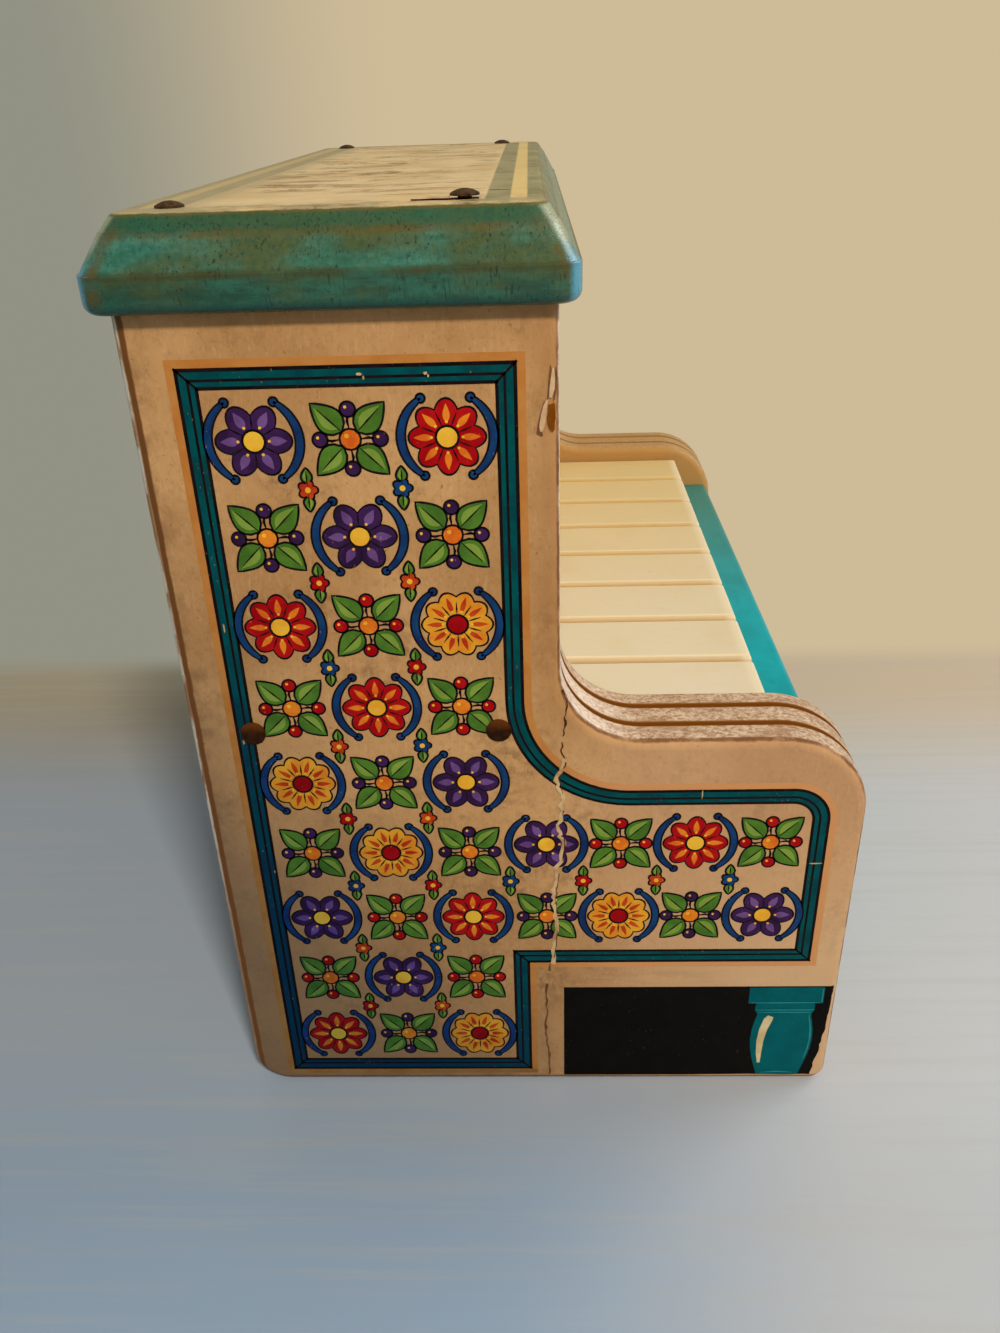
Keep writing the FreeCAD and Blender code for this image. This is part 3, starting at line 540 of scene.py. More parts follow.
def worn_borders(paint, depth, across, worn, whole):
    """Brown lines where the faces turn into the edges, and paint chipped off along the back."""
    bitten = paint.noise(7, detail=5, shift=2).step(0.38, 0.6, 0.2, 0.85)
    outside = across.rise(*OUTSIDE)
    ragged = depth.shaken(0.3, 5, shift=3)
    back_line = outside * ragged.band(*BACK_LINE, 0.2) * 0.95
    foot_line = outside * paint.z.shaken(0.4, 4, shift=5).fall(*FOOT_LINE, 0.85)
    chipped = paint.noise(2.6, (1, 1, 2.6), detail=5, shift=12).rise(0.41, 0.55)
    bare = paint.mix(chipped * paint.z.step(*CHIP_HEIGHTS, 0.1, 1), PLY_BROWN, BARE_PLY)
    return whole.cover(
        (worn.band(*OUTER_RIM, 0.18) * bitten, RIM_BROWN),
        (paint.most(back_line, foot_line), RIM_BROWN),
        (outside * ragged.fall(*BACK_CHIPS, 0.95), bare),
    )


def plywood_paint():
    """Aged cream paint on the panels' faces and bare plies on their edges."""
    paint = Paint("aged_plywood", specular=0.2)
    depth = panel_depth(paint)
    across = abs(paint.x)
    far = paint.x.rise(-INNER_HALF, INNER_HALF, 0.75)
    grain = paint.noise(1.3, (1, 1, 12), detail=3)
    streak = paint.noise(0.8, (0.8, 1.3, 1.3), detail=5, rough=0.75)
    face = neck_and_arm(paint, depth, panel_face(paint, depth, grain))
    face = face.cover((far * across.fall(*INNER_SIDE), PLY_FAR))
    worn = across.shaken(0.3, 2.5, shift=7)
    painted = paint.most(worn.rise(*OUTER_PAINT), worn.fall(*INNER_PAINT))
    whole = panel_edge(paint, depth, across, far, streak).cover((painted, face))
    paint.roughness(streak, 0.45, 0.65)
    return paint.finished(worn_borders(paint, depth, across, worn, whole), grain + streak, 0.06, 0.5)


def lid_sides(paint, along):
    """Colours of the lid's mouldings, by height, with painted shade along the fascia's rounded lower edge."""
    height = paint.z.shaken(0.4, 5)
    middle = abs(paint.y - LID_MIDDLE_Y).shaken(6, 9).fall(*LID_OLIVE, 0.16)
    patch = middle + paint.noise(17, (1.5, 1.5, 0.7), detail=6, shift=6.4)
    patch = patch.rise(0.48, 0.68, 0.8) * height.step(CROWN_BASE - 0.3, CROWN_BASE + 0.3, 1, 0.45)
    mottle = paint.noise(0.8, (1, 1, 1.7), detail=5, shift=1).rise(0.4, 0.7, 0.5)
    broken = paint.noise(8, shift=2).step(0.36, 0.6, 0.2, 0.8)
    lower_line = height.band(FASCIA_TOP - 0.9, FASCIA_TOP + 0.2, 0.35)
    upper_line = height.band(CROWN_BASE - 1.1, CROWN_BASE + 0.1, 0.5) * 0.7
    return along.tones(0.36, 0.62, DEEP_TEAL, TEAL).cover(
        (height.band(FASCIA_TOP + 0.3, CROWN_BASE - 0.6, 0.6), along.tones(0.36, 0.66, TEAL, LIGHT_TEAL)),
        (height.rise(CROWN_BASE - 0.2, CROWN_BASE + 0.4, 0.8), GREEN_TEAL),
        (patch, OLIVE),
        (mottle, DEEP_TEAL),
        (lower_line * broken, DARK_OLIVE),
        (upper_line * broken, paint.mix(mottle, BARE_BROWN, OLIVE)),
        # Painted shade under the fascia's rounded lower edge
        (height.fall(PANEL_TOP + 0.4, PANEL_TOP + 3, 0.75), DEEP_TEAL),
    )


def lid_top(paint, along):
    """Cream top between sage and ochre bands, streaked with dirt across the piano's depth."""
    cream, ochre_start, ochre_end = LID_BANDS
    back = LID_MIDDLE_Y + cream
    end = LID_HALF - LID_END_BAND
    out = abs(paint.y - LID_MIDDLE_Y).shaken(0.15, 1.6)
    ends = abs(paint.x).shaken(1.6, 4, shift=4)
    worn = paint.noise(34, detail=3, shift=3.3).step(0.4, 0.58, 0.1, 1)
    worn = out.step(cream - 2, cream, 1, 0.25) * worn
    streak = paint.noise(9, (0.7, 2.4, 1), detail=10, rough=0.8, shift=1).rise(0.5, 0.57)
    spot = paint.noise(6, (1.8, 2, 1), detail=8, rough=0.8, shift=8).rise(0.57, 0.62)
    return paint.noise(20, shift=5).tones(0.4, 0.65, CREAM, DULL_CREAM).cover(
        (out.rise(cream - 0.2, cream + 0.2), paint.mix(along.rise(0.4, 0.65, 0.5), SAGE, OLIVE)),
        (out.band(ochre_start, ochre_end, 0.2), OCHRE),
        (ends.rise(end, end + 1.5, 0.85), along.tones(0.42, 0.58, DULL_CREAM, SAGE)),
        (worn * streak * 0.7, STREAK_BROWN),
        (worn * spot * 0.8, DIRT),
        (paint.y.rise(back - 6, back, 0.65), FADED_BACK),
    )


def lid_corners(paint, along, face):
    """Rub the paint beside the lid's corners brown, and paint reflections round them: pale sage higher up and
    sky blue low down.
    """
    from_end = LID_HALF - abs(paint.x)
    from_edge = LID_HALF_DEPTH - abs(paint.y - LID_MIDDLE_Y)
    from_mitre = (from_edge - from_end).shaken(1.3, 5)
    rubbed = from_mitre.band(*CORNER_RUB, 1.4) * paint.noise(4, detail=6, shift=3).step(0.38, 0.62, 0.1, 0.95)
    turn = from_mitre.band(*CORNER_REFLECTION, 1.2)
    return face.cover(
        (rubbed * paint.z.rise(PANEL_TOP + 0.5, PANEL_TOP + 3), paint.mix(along, BARE_BROWN, DARK_OLIVE)),
        # Painted reflections round the corners: pale sage higher up, sky blue low down
        (turn * paint.z.rise(PANEL_TOP + 7, PANEL_TOP + 10, 0.6), SAGE_REFLECTION),
        (turn * paint.z.shaken(0.8, 4).fall(PANEL_TOP + 5, PANEL_TOP + 9, 0.8), SKY_REFLECTION),
    )


def lid_paint():
    """Old teal paint worn along the mouldings, with a striped cream top."""
    paint = Paint("worn_teal_lid")
    along = paint.noise(2.6, (4, 4, 1), detail=7, rough=0.68)
    fleck = paint.noise(0.42, (1, 1, 3.6), detail=2, shift=8).rise(0.58, 0.66)
    fleck = fleck * paint.noise(6, shift=4).rise(0.36, 0.56)
    face = lid_corners(paint, along, lid_sides(paint, along).cover((fleck * 0.75, FLECK)))
    crown = paint.z.shaken(0.2, 3, shift=2)
    on_top = crown.rise(LID_TOP - 0.25, LID_TOP - 0.05)
    whole = face.cover(
        (crown.band(LID_TOP - 0.5, LID_TOP - 0.15, 0.2), along.tones(0.44, 0.6, OLIVE, BARE_BROWN)),
        (on_top, lid_top(paint, along)),
    )
    paint.feed(paint.shader.inputs["Specular IOR Level"], on_top.step(0, 1, 0.5, 0.06))
    paint.roughness(along + on_top, 0.14, 0.42)
    return paint.finished(whole, along - fleck * 0.6, 0.14, 0.6)


def flat_paint(name, main, second):
    """Plain brushed paint with slow changes of colour, brush marks and a few dark specks."""
    paint = Paint(name)
    speck = paint.noise(0.9, detail=2, shift=6).rise(0.7, 0.75) * 0.3
    brush = paint.noise(1.2, (4, 1, 1), detail=3, shift=3)
    body = paint.noise(14).tones(0.36, 0.64, main, second).cover((speck, DIRT))
    paint.roughness(brush, 0.35, 0.55)
    return paint.finished(body, brush, 0.03, 0.4)


def slip_paint():
    """Bright teal paint, with painted shade that dulls it towards the far end."""
    paint = Paint("slip_teal", specular=0.12)
    brush = paint.noise(1.2, (6, 1, 1), detail=3, shift=3)
    body = paint.noise(14).tones(0.36, 0.64, SLIP_TEAL, SLIP_SHADE).cover(
        # Painted shade towards the far end
        (paint.x.rise(-INNER_HALF * 0.5, INNER_HALF), SLIP_FAR_SHADE),
        (brush.rise(0.6, 0.8, 0.25), DEEP_TEAL),
    )
    paint.roughness(brush, 0.35, 0.5)
    return paint.finished(body, brush, 0.03, 0.4)


def ivory():
    """Yellowed cream plastic, warmer towards the far keys, with painted shade along the gaps and painted
    highlights on the key edges and at the front.
    """
    paint = Paint("yellowed_ivory", specular=0.3)
    far = paint.x.rise(-INNER_HALF, INNER_HALF)
    past_gap = paint.math("FLOORED_MODULO", paint.x, KEY_PITCH).shaken(0.15, 4)
    body = paint.mix(far, (216, 202, 172), (214, 184, 124)).cover(
        (paint.noise(18).rise(0.45, 0.75, 0.35), (206, 178, 124)),
        # Painted highlight past each gap, painted shade on both sides of the gaps, and a painted highlight
        # along the front
        (past_gap.band(*KEY_GLEAM, 0.5) * far.step(0, 1, 0.75, 0.4), (248, 222, 172)),
        (past_gap.fall(*KEY_START_SHADE, 0.7), (194, 152, 84)),
        (past_gap.rise(*KEY_END_SHADE, 0.5), (190, 146, 84)),
        (paint.y.fall(*KEY_FRONT_HIGHLIGHT, 0.6), (234, 218, 184)),
        (paint.noise(0.5, (1, 9, 1), detail=2, shift=3).rise(0.66, 0.74, 0.3), (176, 140, 88)),
    )
    fine = paint.noise(2.5, (1, 5, 1))
    paint.roughness(fine, 0.3, 0.48)
    return paint.finished(body, fine, 0.02, 0.3)


def bare_wood():
    """Bare wood with grain along the board's length across the piano."""
    paint = Paint("bare_wood", specular=0.25)
    ring = paint.noise(2.4, (14, 1, 1), detail=5, rough=0.65)
    line = paint.noise(0.5, (20, 1, 1), detail=2, shift=4)
    body = ring.tones(0.35, 0.65, (208, 172, 122), (182, 138, 88))
    paint.roughness(ring, 0.55, 0.8)
    return paint.finished(body.cover((line.rise(0.58, 0.72, 0.5), (128, 88, 50))), line, 0.06, 0.6)


def pressed_board():
    paint = Paint("pressed_board", specular=0.2)
    fibre = paint.noise(0.8, (2.5, 1, 1), detail=5, rough=0.75)
    cloud = paint.noise(24, shift=3).rise(0.5, 0.7, 0.4)
    body = fibre.tones(0.35, 0.68, (122, 82, 50), (86, 54, 32))
    paint.roughness(fibre, 0.65, 0.85)
    return paint.finished(body.cover((cloud, (66, 42, 26))), fibre, 0.08, 0.6)


def felt():
    paint = Paint("red_felt", roughness=0.95, specular=0.1)
    fuzz = paint.noise(0.45, rough=0.8)
    return paint.finished(fuzz.tones(0.35, 0.7, (138, 26, 26), (84, 12, 14)), fuzz, 0.2, 0.8)


def metal(name, light, dark, roughness, size, stretch=(1, 1, 1), metallic=1, depth=0.03):
    """Metal with patches of a second colour."""
    paint = Paint(name, metallic=metallic)
    patch = paint.noise(size, stretch, detail=6, rough=0.7)
    paint.roughness(patch, *roughness)
    return paint.finished(patch.tones(0.38, 0.64, light, dark), patch, depth, 0.7)


def nail_head():
    """Dark rust on the side nails' heads, lighter towards the upper rim."""
    paint = Paint("brown_rust", specular=0.08)
    patch = paint.noise(1.4, detail=6, rough=0.7)
    upper = paint.z.shaken(0.4, 2).rise(SIDE_NAIL_Z - 0.2, SIDE_NAIL_Z + 2.2, 0.8)
    body = patch.tones(0.38, 0.64, (54, 27, 9), (34, 18, 8)).cover((upper, (98, 52, 12)))
    paint.roughness(patch, 0.6, 0.9)
    return paint.finished(body, patch, 0.1, 0.7)


def shade_low_at_back(paint):
    """Share of painted shade that darkens a colour towards the lower back corner of a side panel."""
    return (paint.z + panel_depth(paint) * 1.2).fall(*INK_SHADE_SPAN, 0.85)


def on_arm(paint):
    """Share of a colour that shows on the arm of a side panel."""
    return panel_depth(paint).rise(*INK_ARM_DEPTHS, 0.9)


def ink(name, main, second, wear=0.5, third=None, where=None, foot=0):
    """Printed ink with uneven colour, painted shade towards the lower back corner, a darker foot where asked,
    fine scuffs down to the cream and the wood's grain.
    """
    paint = Paint(f"{name}_ink", specular=0.04)
    cloud = paint.noise(5, detail=5)
    body = cloud.tones(0.35, 0.68, main, second)
    if where:
        body = body.cover((where(paint), third))
    # Painted shade towards the lower back corner, and a darker foot where asked
    painted_shade_and_foot = paint.most(corner_shade(paint), paint.z.fall(*INK_FOOT, foot))
    body = paint.mix(painted_shade_and_foot, body, INK_SHADE_AND_FOOT_TINT, "MULTIPLY")
    scuff = paint.noise(0.55, (1, 1, 2), detail=3, shift=5).rise(0.66, 0.74)
    scuff = scuff * paint.noise(9, shift=2).rise(0.42, 0.6)
    paint.roughness(cloud, 0.36, 0.56)
    grain = paint.noise(1.3, (1, 1, 12), detail=3)
    return paint.finished(body.cover((scuff * wear, PALE_TAN)), grain, 0.05, 0.4)


# Inks: layer, two tones, how much cream the scuffs show, and a third tone with its place and how much darker
# the foot is
INK_TONES = {
    "peach": (1, (188, 126, 64), (180, 112, 48), 0.5, (206, 146, 94), on_arm, 1),
    # The teal's third tone is painted shade towards the lower back corner
    "teal": (2, (2, 78, 80), (4, 60, 66), 0.5, (2, 48, 70), shade_low_at_back),
    "dark": (3, DARK_INK, (30, 20, 22), 0.35),
    "blue": (4, (24, 62, 108), (18, 42, 84)),
    "green": (4, (82, 122, 40), (62, 100, 34)),
    "light_green": (5, (128, 152, 62), (112, 138, 52)),
    "red": (4, (176, 18, 20), (150, 6, 14)),
    "orange": (5, (226, 132, 36), (204, 88, 26)),
    "yellow": (7, (234, 182, 58), (224, 156, 42)),
    "purple": (4, (62, 32, 78), (42, 22, 54)),
    "light_purple": (5, (112, 80, 132), (92, 60, 110)),
    "gold": (4, (224, 160, 46), (212, 126, 34)),
    "rust": (5, (196, 74, 24), (168, 40, 20)),
    "red_heart": (7, (160, 10, 16), (130, 4, 12)),
    "leg": (3, (0, 92, 98), (0, 84, 90), 0.15),
    "leg_cap": (4, (0, 90, 96), (0, 80, 86), 0.15),
    "leg_light": (5, (52, 140, 142), (36, 120, 124), 0.2),
    "cream": (6, (216, 196, 152), (196, 172, 124), 0.2),
    "fine_line": (6, DARK_INK, (34, 20, 20), 0.2),
    "black": (2, (11, 10, 8), (16, 14, 10), 0.2),
    "torn": (8, (212, 180, 132), (166, 124, 78), 0.2),
    "split": (9, (84, 42, 22), (50, 24, 14), 0),
    "bare": (9, (140, 78, 14), (112, 58, 8), 0),
    "shadow_brown": (9, (124, 84, 54), (92, 58, 38), 0),
    "curl": (10, (212, 178, 138), (188, 146, 106), 0),
}
INKS = {name: ink(name, *look) for name, (layer, *look) in INK_TONES.items()}
INK_LIFTS = {name: INK_STEP * row[0] for name, row in INK_TONES.items()}


def wave(x, y, z=0):
    """Smooth noise about zero."""
    return noise.noise(Vector((x, y, z)))


def edge_drop(u, z):
    """How far the rounded edge falls back from the flat face near the foot and the front."""
    corner_u = PANEL_DEPTH - TOE_RADIUS
    inside = min(z, PANEL_DEPTH - u)
    if u > corner_u and z < TOE_RADIUS:
        inside = TOE_RADIUS - math.hypot(u - corner_u, TOE_RADIUS - z)
    short = PANEL_EDGE_ROUND - max(inside, 0)
    if short <= 0:
        return 0
    return PANEL_EDGE_ROUND - math.sqrt(PANEL_EDGE_ROUND ** 2 - short ** 2)


def on_panel(side):
    """Places on the outer face of one side panel."""
    back = RIGHT_BACK_Y if side > 0 else PANEL_BACK_Y

    def place(u, z, lift):
        return Vector((side * (OUTER_HALF - edge_drop(u, z) + lift), back - u, z)) * MM
    return place


def on_lid(x, y, lift):
    return Vector((x, y, LID_TOP + lift)) * MM


def placed(name, data):
    """Object in the scene with a mesh, a camera or a lamp."""
    made = bpy.data.objects.new(name, data)
    bpy.context.scene.collection.objects.link(made)
    return made


def mesh_object(name, mesh, material):
    data = bpy.data.meshes.new(name)
    mesh.to_mesh(data)
    mesh.free()
    data.materials.append(material)
    return placed(name, data)


class Plates:
    """Thin closed plates that lie on one surface, gathered in one mesh."""

    def __init__(self, place, lift):
        self.mesh = bmesh.new()
        self.place = place
        self.lift = lift

    def layers(self, points):
        """Corners of a plate's top and of its bottom."""
        return [[self.mesh.verts.new(self.place(a, b, lift)) for a, b in points]
                for lift in (self.lift, -INK_SINK)]

    def join(self, first, second, closed):
        """Faces between two lines of as many corners."""
        count = len(first)
        for i in range(count if closed else count - 1):
            j = (i + 1) % count
            self.mesh.faces.new((first[i], first[j], second[j], second[i]))

    def polygon(self, points):
        top, bottom = self.layers(points)
        self.mesh.faces.new(top)
        self.mesh.faces.new(bottom)
        self.join(top, bottom, True)

    def strip(self, left, right, closed=False):
        """Plate between two lines of as many points."""
        left_top, left_bottom = self.layers(left)
        right_top, right_bottom = self.layers(right)
        self.join(left_top, right_top, closed)
        self.join(left_bottom, right_bottom, closed)
        self.join(left_top, left_bottom, closed)
        self.join(right_top, right_bottom, closed)
        if not closed:
            for end in (0, -1):
                self.mesh.faces.new((left_top[end], right_top[end], right_bottom[end], left_bottom[end]))

    def line(self, points):
        """Plate along (u, z, width) points."""
        self.strip(*stroke([point[:2] for point in points], [point[2] for point in points]))

    def piece(self, name, ink_name, body, slot):
        bmesh.ops.recalc_face_normals(self.mesh, faces=self.mesh.faces)
        made = mesh_object(name, self.mesh, INKS[ink_name])
        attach(made, body)


def framed(inset):
    """Points of the printed frame's outline, drawn in by an inset, and the places of its sharp corners."""
    points = []
    sharp = []
    count = len(FRAME_CORNERS)
    for i, (u, z, radius) in enumerate(FRAME_CORNERS):
        corner = Vector((u, z))
        before = Vector(FRAME_CORNERS[i - 1][:2])
        after = Vector(FRAME_CORNERS[(i + 1) % count][:2])
        come = (corner - before).normalized()
        go = (after - corner).normalized()
        inward = Vector((-come.y, come.x)) + Vector((-go.y, go.x))
        inner = corner + inward * inset
        if not radius:
            sharp.append(inner)
            points.append(inner)
            continue
        convex = come.x * go.y - come.y * go.x > 0
        reach = radius - inset if convex else radius + inset
        centre = inner - come * reach + go * reach
        for k in range(ARC_STEPS + 1):
            turn = math.pi / 2 * k / ARC_STEPS
            points.append(centre + come * (reach * math.sin(turn)) - go * (reach * math.cos(turn)))
    return [tuple(point) for point in points], sharp


def stroke(points, widths):
    """Left and right lines of a brush stroke along points, with a width at each."""
    left = []
    right = []
    for i, (u, z) in enumerate(points):
        before = points[max(i - 1, 0)]
        after = points[min(i + 1, len(points) - 1)]
        along = Vector((after[0] - before[0], after[1] - before[1])).normalized()
        side = Vector((-along.y, along.x)) * (widths[i] / 2)
        left.append((u + side.x, z + side.y))
        right.append((u - side.x, z - side.y))
    return left, right


def turns(count, start=0):
    """Directions that share out a full turn."""
    return [start + 2 * math.pi * k / count for k in range(count)]


def moved(points, centre, angle=0):
    """Points turned and carried to a centre."""
    cosine = math.cos(angle)
    sine = math.sin(angle)
    return [(centre[0] + a * cosine - b * sine, centre[1] + a * sine + b * cosine) for a, b in points]


def polar(centre, reach, turn):
    """Point at a distance and in a direction from a centre."""
    return moved([(reach, 0)], centre, turn)[0]


def round_shape(radius, steps, lobes=0, depth=0, grow=0):
    """Round outline with lobes: the radius falls by a share of itself between them."""
    points = []
    for turn in turns(steps):
        dip = 1 - abs(math.cos(lobes * turn / 2)) if lobes else 0
        points.append(polar((0, 0), radius * (1 - depth * dip) + grow, turn))
    return points


def leaf_shape(length, width, grow=0, half=False):
    """Pointed leaf along the first axis from the origin, whole or only one half of it."""
    upper = []
    for k in range(LEAF_STEPS + 1):
        share = k / LEAF_STEPS
        reach = width / 2 * math.sin(math.pi * share ** 0.72) + grow * math.sin(math.pi * share) ** 0.3
        upper.append((length * share + grow * (2 * share - 1), reach))
    lower = [(a, -b) for a, b in reversed(upper[1:-1])]
    return upper if half else upper + lower


class Art:
    """A print on one side panel, gathered as plates of each ink."""

    def __init__(self, side):
        self.place = on_panel(side)
        self.plates = {}

    def ink(self, name):
        """Plates of one ink."""
        if name not in self.plates:
            self.plates[name] = Plates(self.place, INK_LIFTS[name])
        return self.plates[name]

    def pieces(self, naming):
        """Make a piece of each ink in use, in the order of the inks' rows."""
        for name in INK_TONES:
            if name in self.plates:
                self.plates[name].piece(naming.format(name), name, "cabinet", "printed_plywood")

    def disc(self, name, centre, radius, steps):
        self.ink(name).polygon(moved(round_shape(radius, steps), centre))

    def stroke(self, name, points, width, taper=0.25):
        count = len(points) - 1
        widths = [width * (taper + (1 - taper) * math.sin(math.pi * k / count) ** 0.5)
                  for k in range(count + 1)]
        self.ink(name).strip(*stroke(points, widths))

    def outlined(self, name, shape, centre, angle=0):
        """A shape function drawn in one ink over a slightly larger dark one."""
        self.ink("dark").polygon(moved(shape(OUTLINE_WIDTH), centre, angle))
        self.ink(name).polygon(moved(shape(0), centre, angle))

    def leaf(self, base, angle, length, width):
        self.outlined("green", lambda grow: leaf_shape(length, width, grow), base, angle)
        half = moved(leaf_shape(length * 0.8, width * 0.62, half=True), (length * 0.1, 0.12))
        self.ink("light_green").polygon(moved(half, base, angle))
        vein = [(VEIN_START, 0), (length * 0.4, 0), (length * 0.8, 0)]
        self.stroke("fine_line", moved(vein, base, angle), VEIN_WIDTH)

    def berry(self, name, centre, radius):
        self.outlined(name, lambda grow: round_shape(radius, 16, grow=grow), centre)
        shine = (centre[0] - radius * 0.35, centre[1] + radius * 0.35)
        self.disc("yellow", shine, radius * 0.25, 8)

    def flower(self, kind, centre):
        petals, streak, heart, lobes, depth = FLOWERS[kind]
        self.outlined(petals, lambda grow: round_shape(FLOWER_RADIUS, 12 * lobes, lobes, depth, grow), centre)
        petal = leaf_shape(FLOWER_RADIUS * 0.5, FLOWER_RADIUS * 1.5 / lobes)
        petal = moved(petal, (FLOWER_RADIUS * 0.4, 0))
        crease = [(FLOWER_RADIUS * share, 0) for share in (0.34, 0.5, 0.72)]
        for turn in turns(lobes):
            self.ink(streak).polygon(moved(petal, centre, turn))
            self.stroke("fine_line", moved(crease, centre, turn + math.pi / lobes), CREASE_WIDTH)
            self.disc("yellow", polar(centre, FLOWER_RADIUS * 0.42, turn), DOT_RADIUS, 8)
        self.disc("fine_line", centre, FLOWER_RADIUS * 0.34, 20)
        self.disc(heart, centre, FLOWER_RADIUS * 0.27, 20)

    def scrolls(self, centre):
        """Two blue curls that clasp a flower from its sides."""
        for side in (-1, 1):
            points = []
            for k in range(SCROLL_STEPS + 1):
                turn = math.radians(SCROLL_TURN * (2 * k / SCROLL_STEPS - 1))
                points.append(polar(centre, side * SCROLL_RADIUS, side * turn))
            self.stroke("dark", points, SCROLL_WIDTHS[0], 0.45)
            self.stroke("blue", points, SCROLL_WIDTHS[1], 0.3)
            for end in (points[0], points[-1]):
                self.outlined("blue", lambda grow: round_shape(SCROLL_END, 12, grow=grow), end)

    def sprig(self, centre, berries):
        """Four leaves and four berries round a larger berry."""
        for turn in turns(4, math.pi / 4):
            self.leaf(polar(centre, SPRIG_LEAF_START, turn), turn, *SPRIG_LEAF)
        for turn in turns(4):
            self.stroke("dark", moved(SPRIG_STEM, centre, turn), STEM_WIDTH)
            self.berry(berries, polar(centre, SPRIG_REACH, turn), SPRIG_BERRY)
        self.berry("orange", centre, SPRIG_HEART)

    def blossom(self, name, centre):
        """Small five-petalled filler with two leaves."""
        for turn in (-math.pi / 2, math.pi / 2):
            self.leaf(polar(centre, BLOSSOM_LEAF_START, turn), turn, *BLOSSOM_LEAF)
        self.outlined(name, lambda grow: round_shape(BLOSSOM_RADIUS, 30, 5, 0.35, grow), centre)
        self.disc("yellow", centre, BLOSSOM_HEART, 10)


def floral_design(art):
    """Half-drop repeat of flowers and four-leaved sprigs over the tall part and the arm."""
    kinds = list(FLOWERS)
    for left, right, bottom, top, columns, rows, start in (TALL_CELLS, ARM_CELLS):
        wide = (right - left) / columns
        high = (top - bottom) / rows
        for row in range(rows):
            for column in range(columns):
                step = row // 2 + column + start
                centre = (left + wide * (column + 0.5), bottom + high * (row + 0.5))
                if (row + column + start) % 2:
                    art.sprig(centre, ("red", "purple")[step % 2])
                else:
                    art.flower(kinds[step % 3], centre)
                    art.scrolls(centre)
                if row and (column or start):
                    corner = (left + wide * column, bottom + high * row)
                    art.blossom(("rust", "blue", "red")[(row + column) % 3], corner)


def printed_frame(art):
    outer, corners = framed(0)
    inner, inner_corners = framed(FRAME_WIDTH)
    art.ink("peach").strip(framed(-PEACH_WIDTH)[0], outer, True)
    art.ink("teal").strip(outer, inner, True)
    for start, end in FRAME_LINES:
        art.ink("dark").strip(framed(start)[0], framed(end)[0], True)
    for corner, inner_corner in zip(corners, inner_corners):
        art.ink("dark").strip(*stroke([tuple(corner), tuple(inner_corner)], [MITRE_WIDTH] * 2))


def turned_leg(art):
    """Flat picture of a turned leg in front of a black block."""
    left, bottom, right, top = LEG_CAP
    art.ink("leg_cap").polygon([(left, bottom), (right, bottom), (right, top), (left, top)])
    flank = [(LEG_MIDDLE + half, z) for z, half in LEG_PROFILE]
    art.ink("leg").polygon(flank + [(2 * LEG_MIDDLE - u, z) for u, z in reversed(flank)])
    art.ink("cream").line(LEG_SHINE)
    art.stroke("leg_light", [(u - 0.5, z) for u, z in flank[2:8]], FLANK_LINE)
    art.stroke("leg_light", [(right - 0.3, bottom + 0.3), (right - 0.3, top - 0.5)], CAP_LINE, 0.8)
    for half, z in LEG_RINGS:
        ring = [(LEG_MIDDLE - half, z), (LEG_MIDDLE, z), (LEG_MIDDLE + half, z)]
        art.stroke("leg_light", ring, RING_LINE, 0.5)
    art.stroke("leg_light", moved(LEG_FOOT, (LEG_MIDDLE, 0)), FOOT_WIDTH)


def block_row(share):
    """Points across the black block at a share of its height, worn ragged in front and below."""
    height = BLOCK_BOTTOM + (BLOCK_TOP - BLOCK_BOTTOM) * share
    worn = BLOCK_WEAR * (1 - share) ** 2.2 + BLOCK_RAGGED * wave(height, 0.5)
    points = []
    for column in BLOCK_COLUMNS:
        u = BLOCK_LEFT + (BLOCK_RIGHT - worn - BLOCK_LEFT) * column
        foot = BLOCK_BOTTOM + BLOCK_FOOT_WEAR * (1 + wave(u * 0.4, 3.1))
        points.append((u, max(height, foot)))
    return points


def black_block(art):
    """Black printed block with a grid of faces on its top and its bottom."""
    plates = art.ink("black")
    rows = [plates.layers(block_row(k / BLOCK_ROWS)) for k in range(BLOCK_ROWS + 1)]
    rims = []
    for grid in zip(*rows):
        for lower, upper in zip(grid, grid[1:]):
            plates.join(lower, upper, False)
        front = [row[-1] for row in grid[1:-1]]
        back = [row[0] for row in grid[-2:0:-1]]
        rims.append(grid[0] + front + grid[-1][::-1] + back)
    plates.join(*rims, True)


def blob(u, z, width, height, seed):
    """Ragged patch."""
    points = []
    for turn in turns(BLOB_STEPS):
        across = math.cos(turn)
        up = math.sin(turn)
        ragged = 1 + 0.55 * wave(across * 1.7, up * 1.7, seed)
        points.append((u + width / 2 * ragged * across, z + height / 2 * ragged * up))
    return points


def jagged_crack():
    """The crack's line with more points between its own, moved aside by noise."""
    line = []
    for (u0, z0), (u1, z1) in zip(CRACK, CRACK[1:]):
        for k in range(CRACK_POINTS):
            share = k / CRACK_POINTS
            z = z0 + (z1 - z0) * share
            line.append((u0 + (u1 - u0) * share + CRACK_WANDER * wave(z * 0.9, 2), z))
    return line + [CRACK[-1]]


def dashes(line, width):
    """Stretches of a line with an uneven width, broken where it closes up."""
    stretches = [[]]
    for u, z in line:
        local = width + DARK_UNEVEN * wave(z * 0.55, 5)
        if local > NARROWEST_DASH:
            stretches[-1].append((u, z, local))
        else:
            stretches.append([])
    return [stretch for stretch in stretches if len(stretch) > 1]


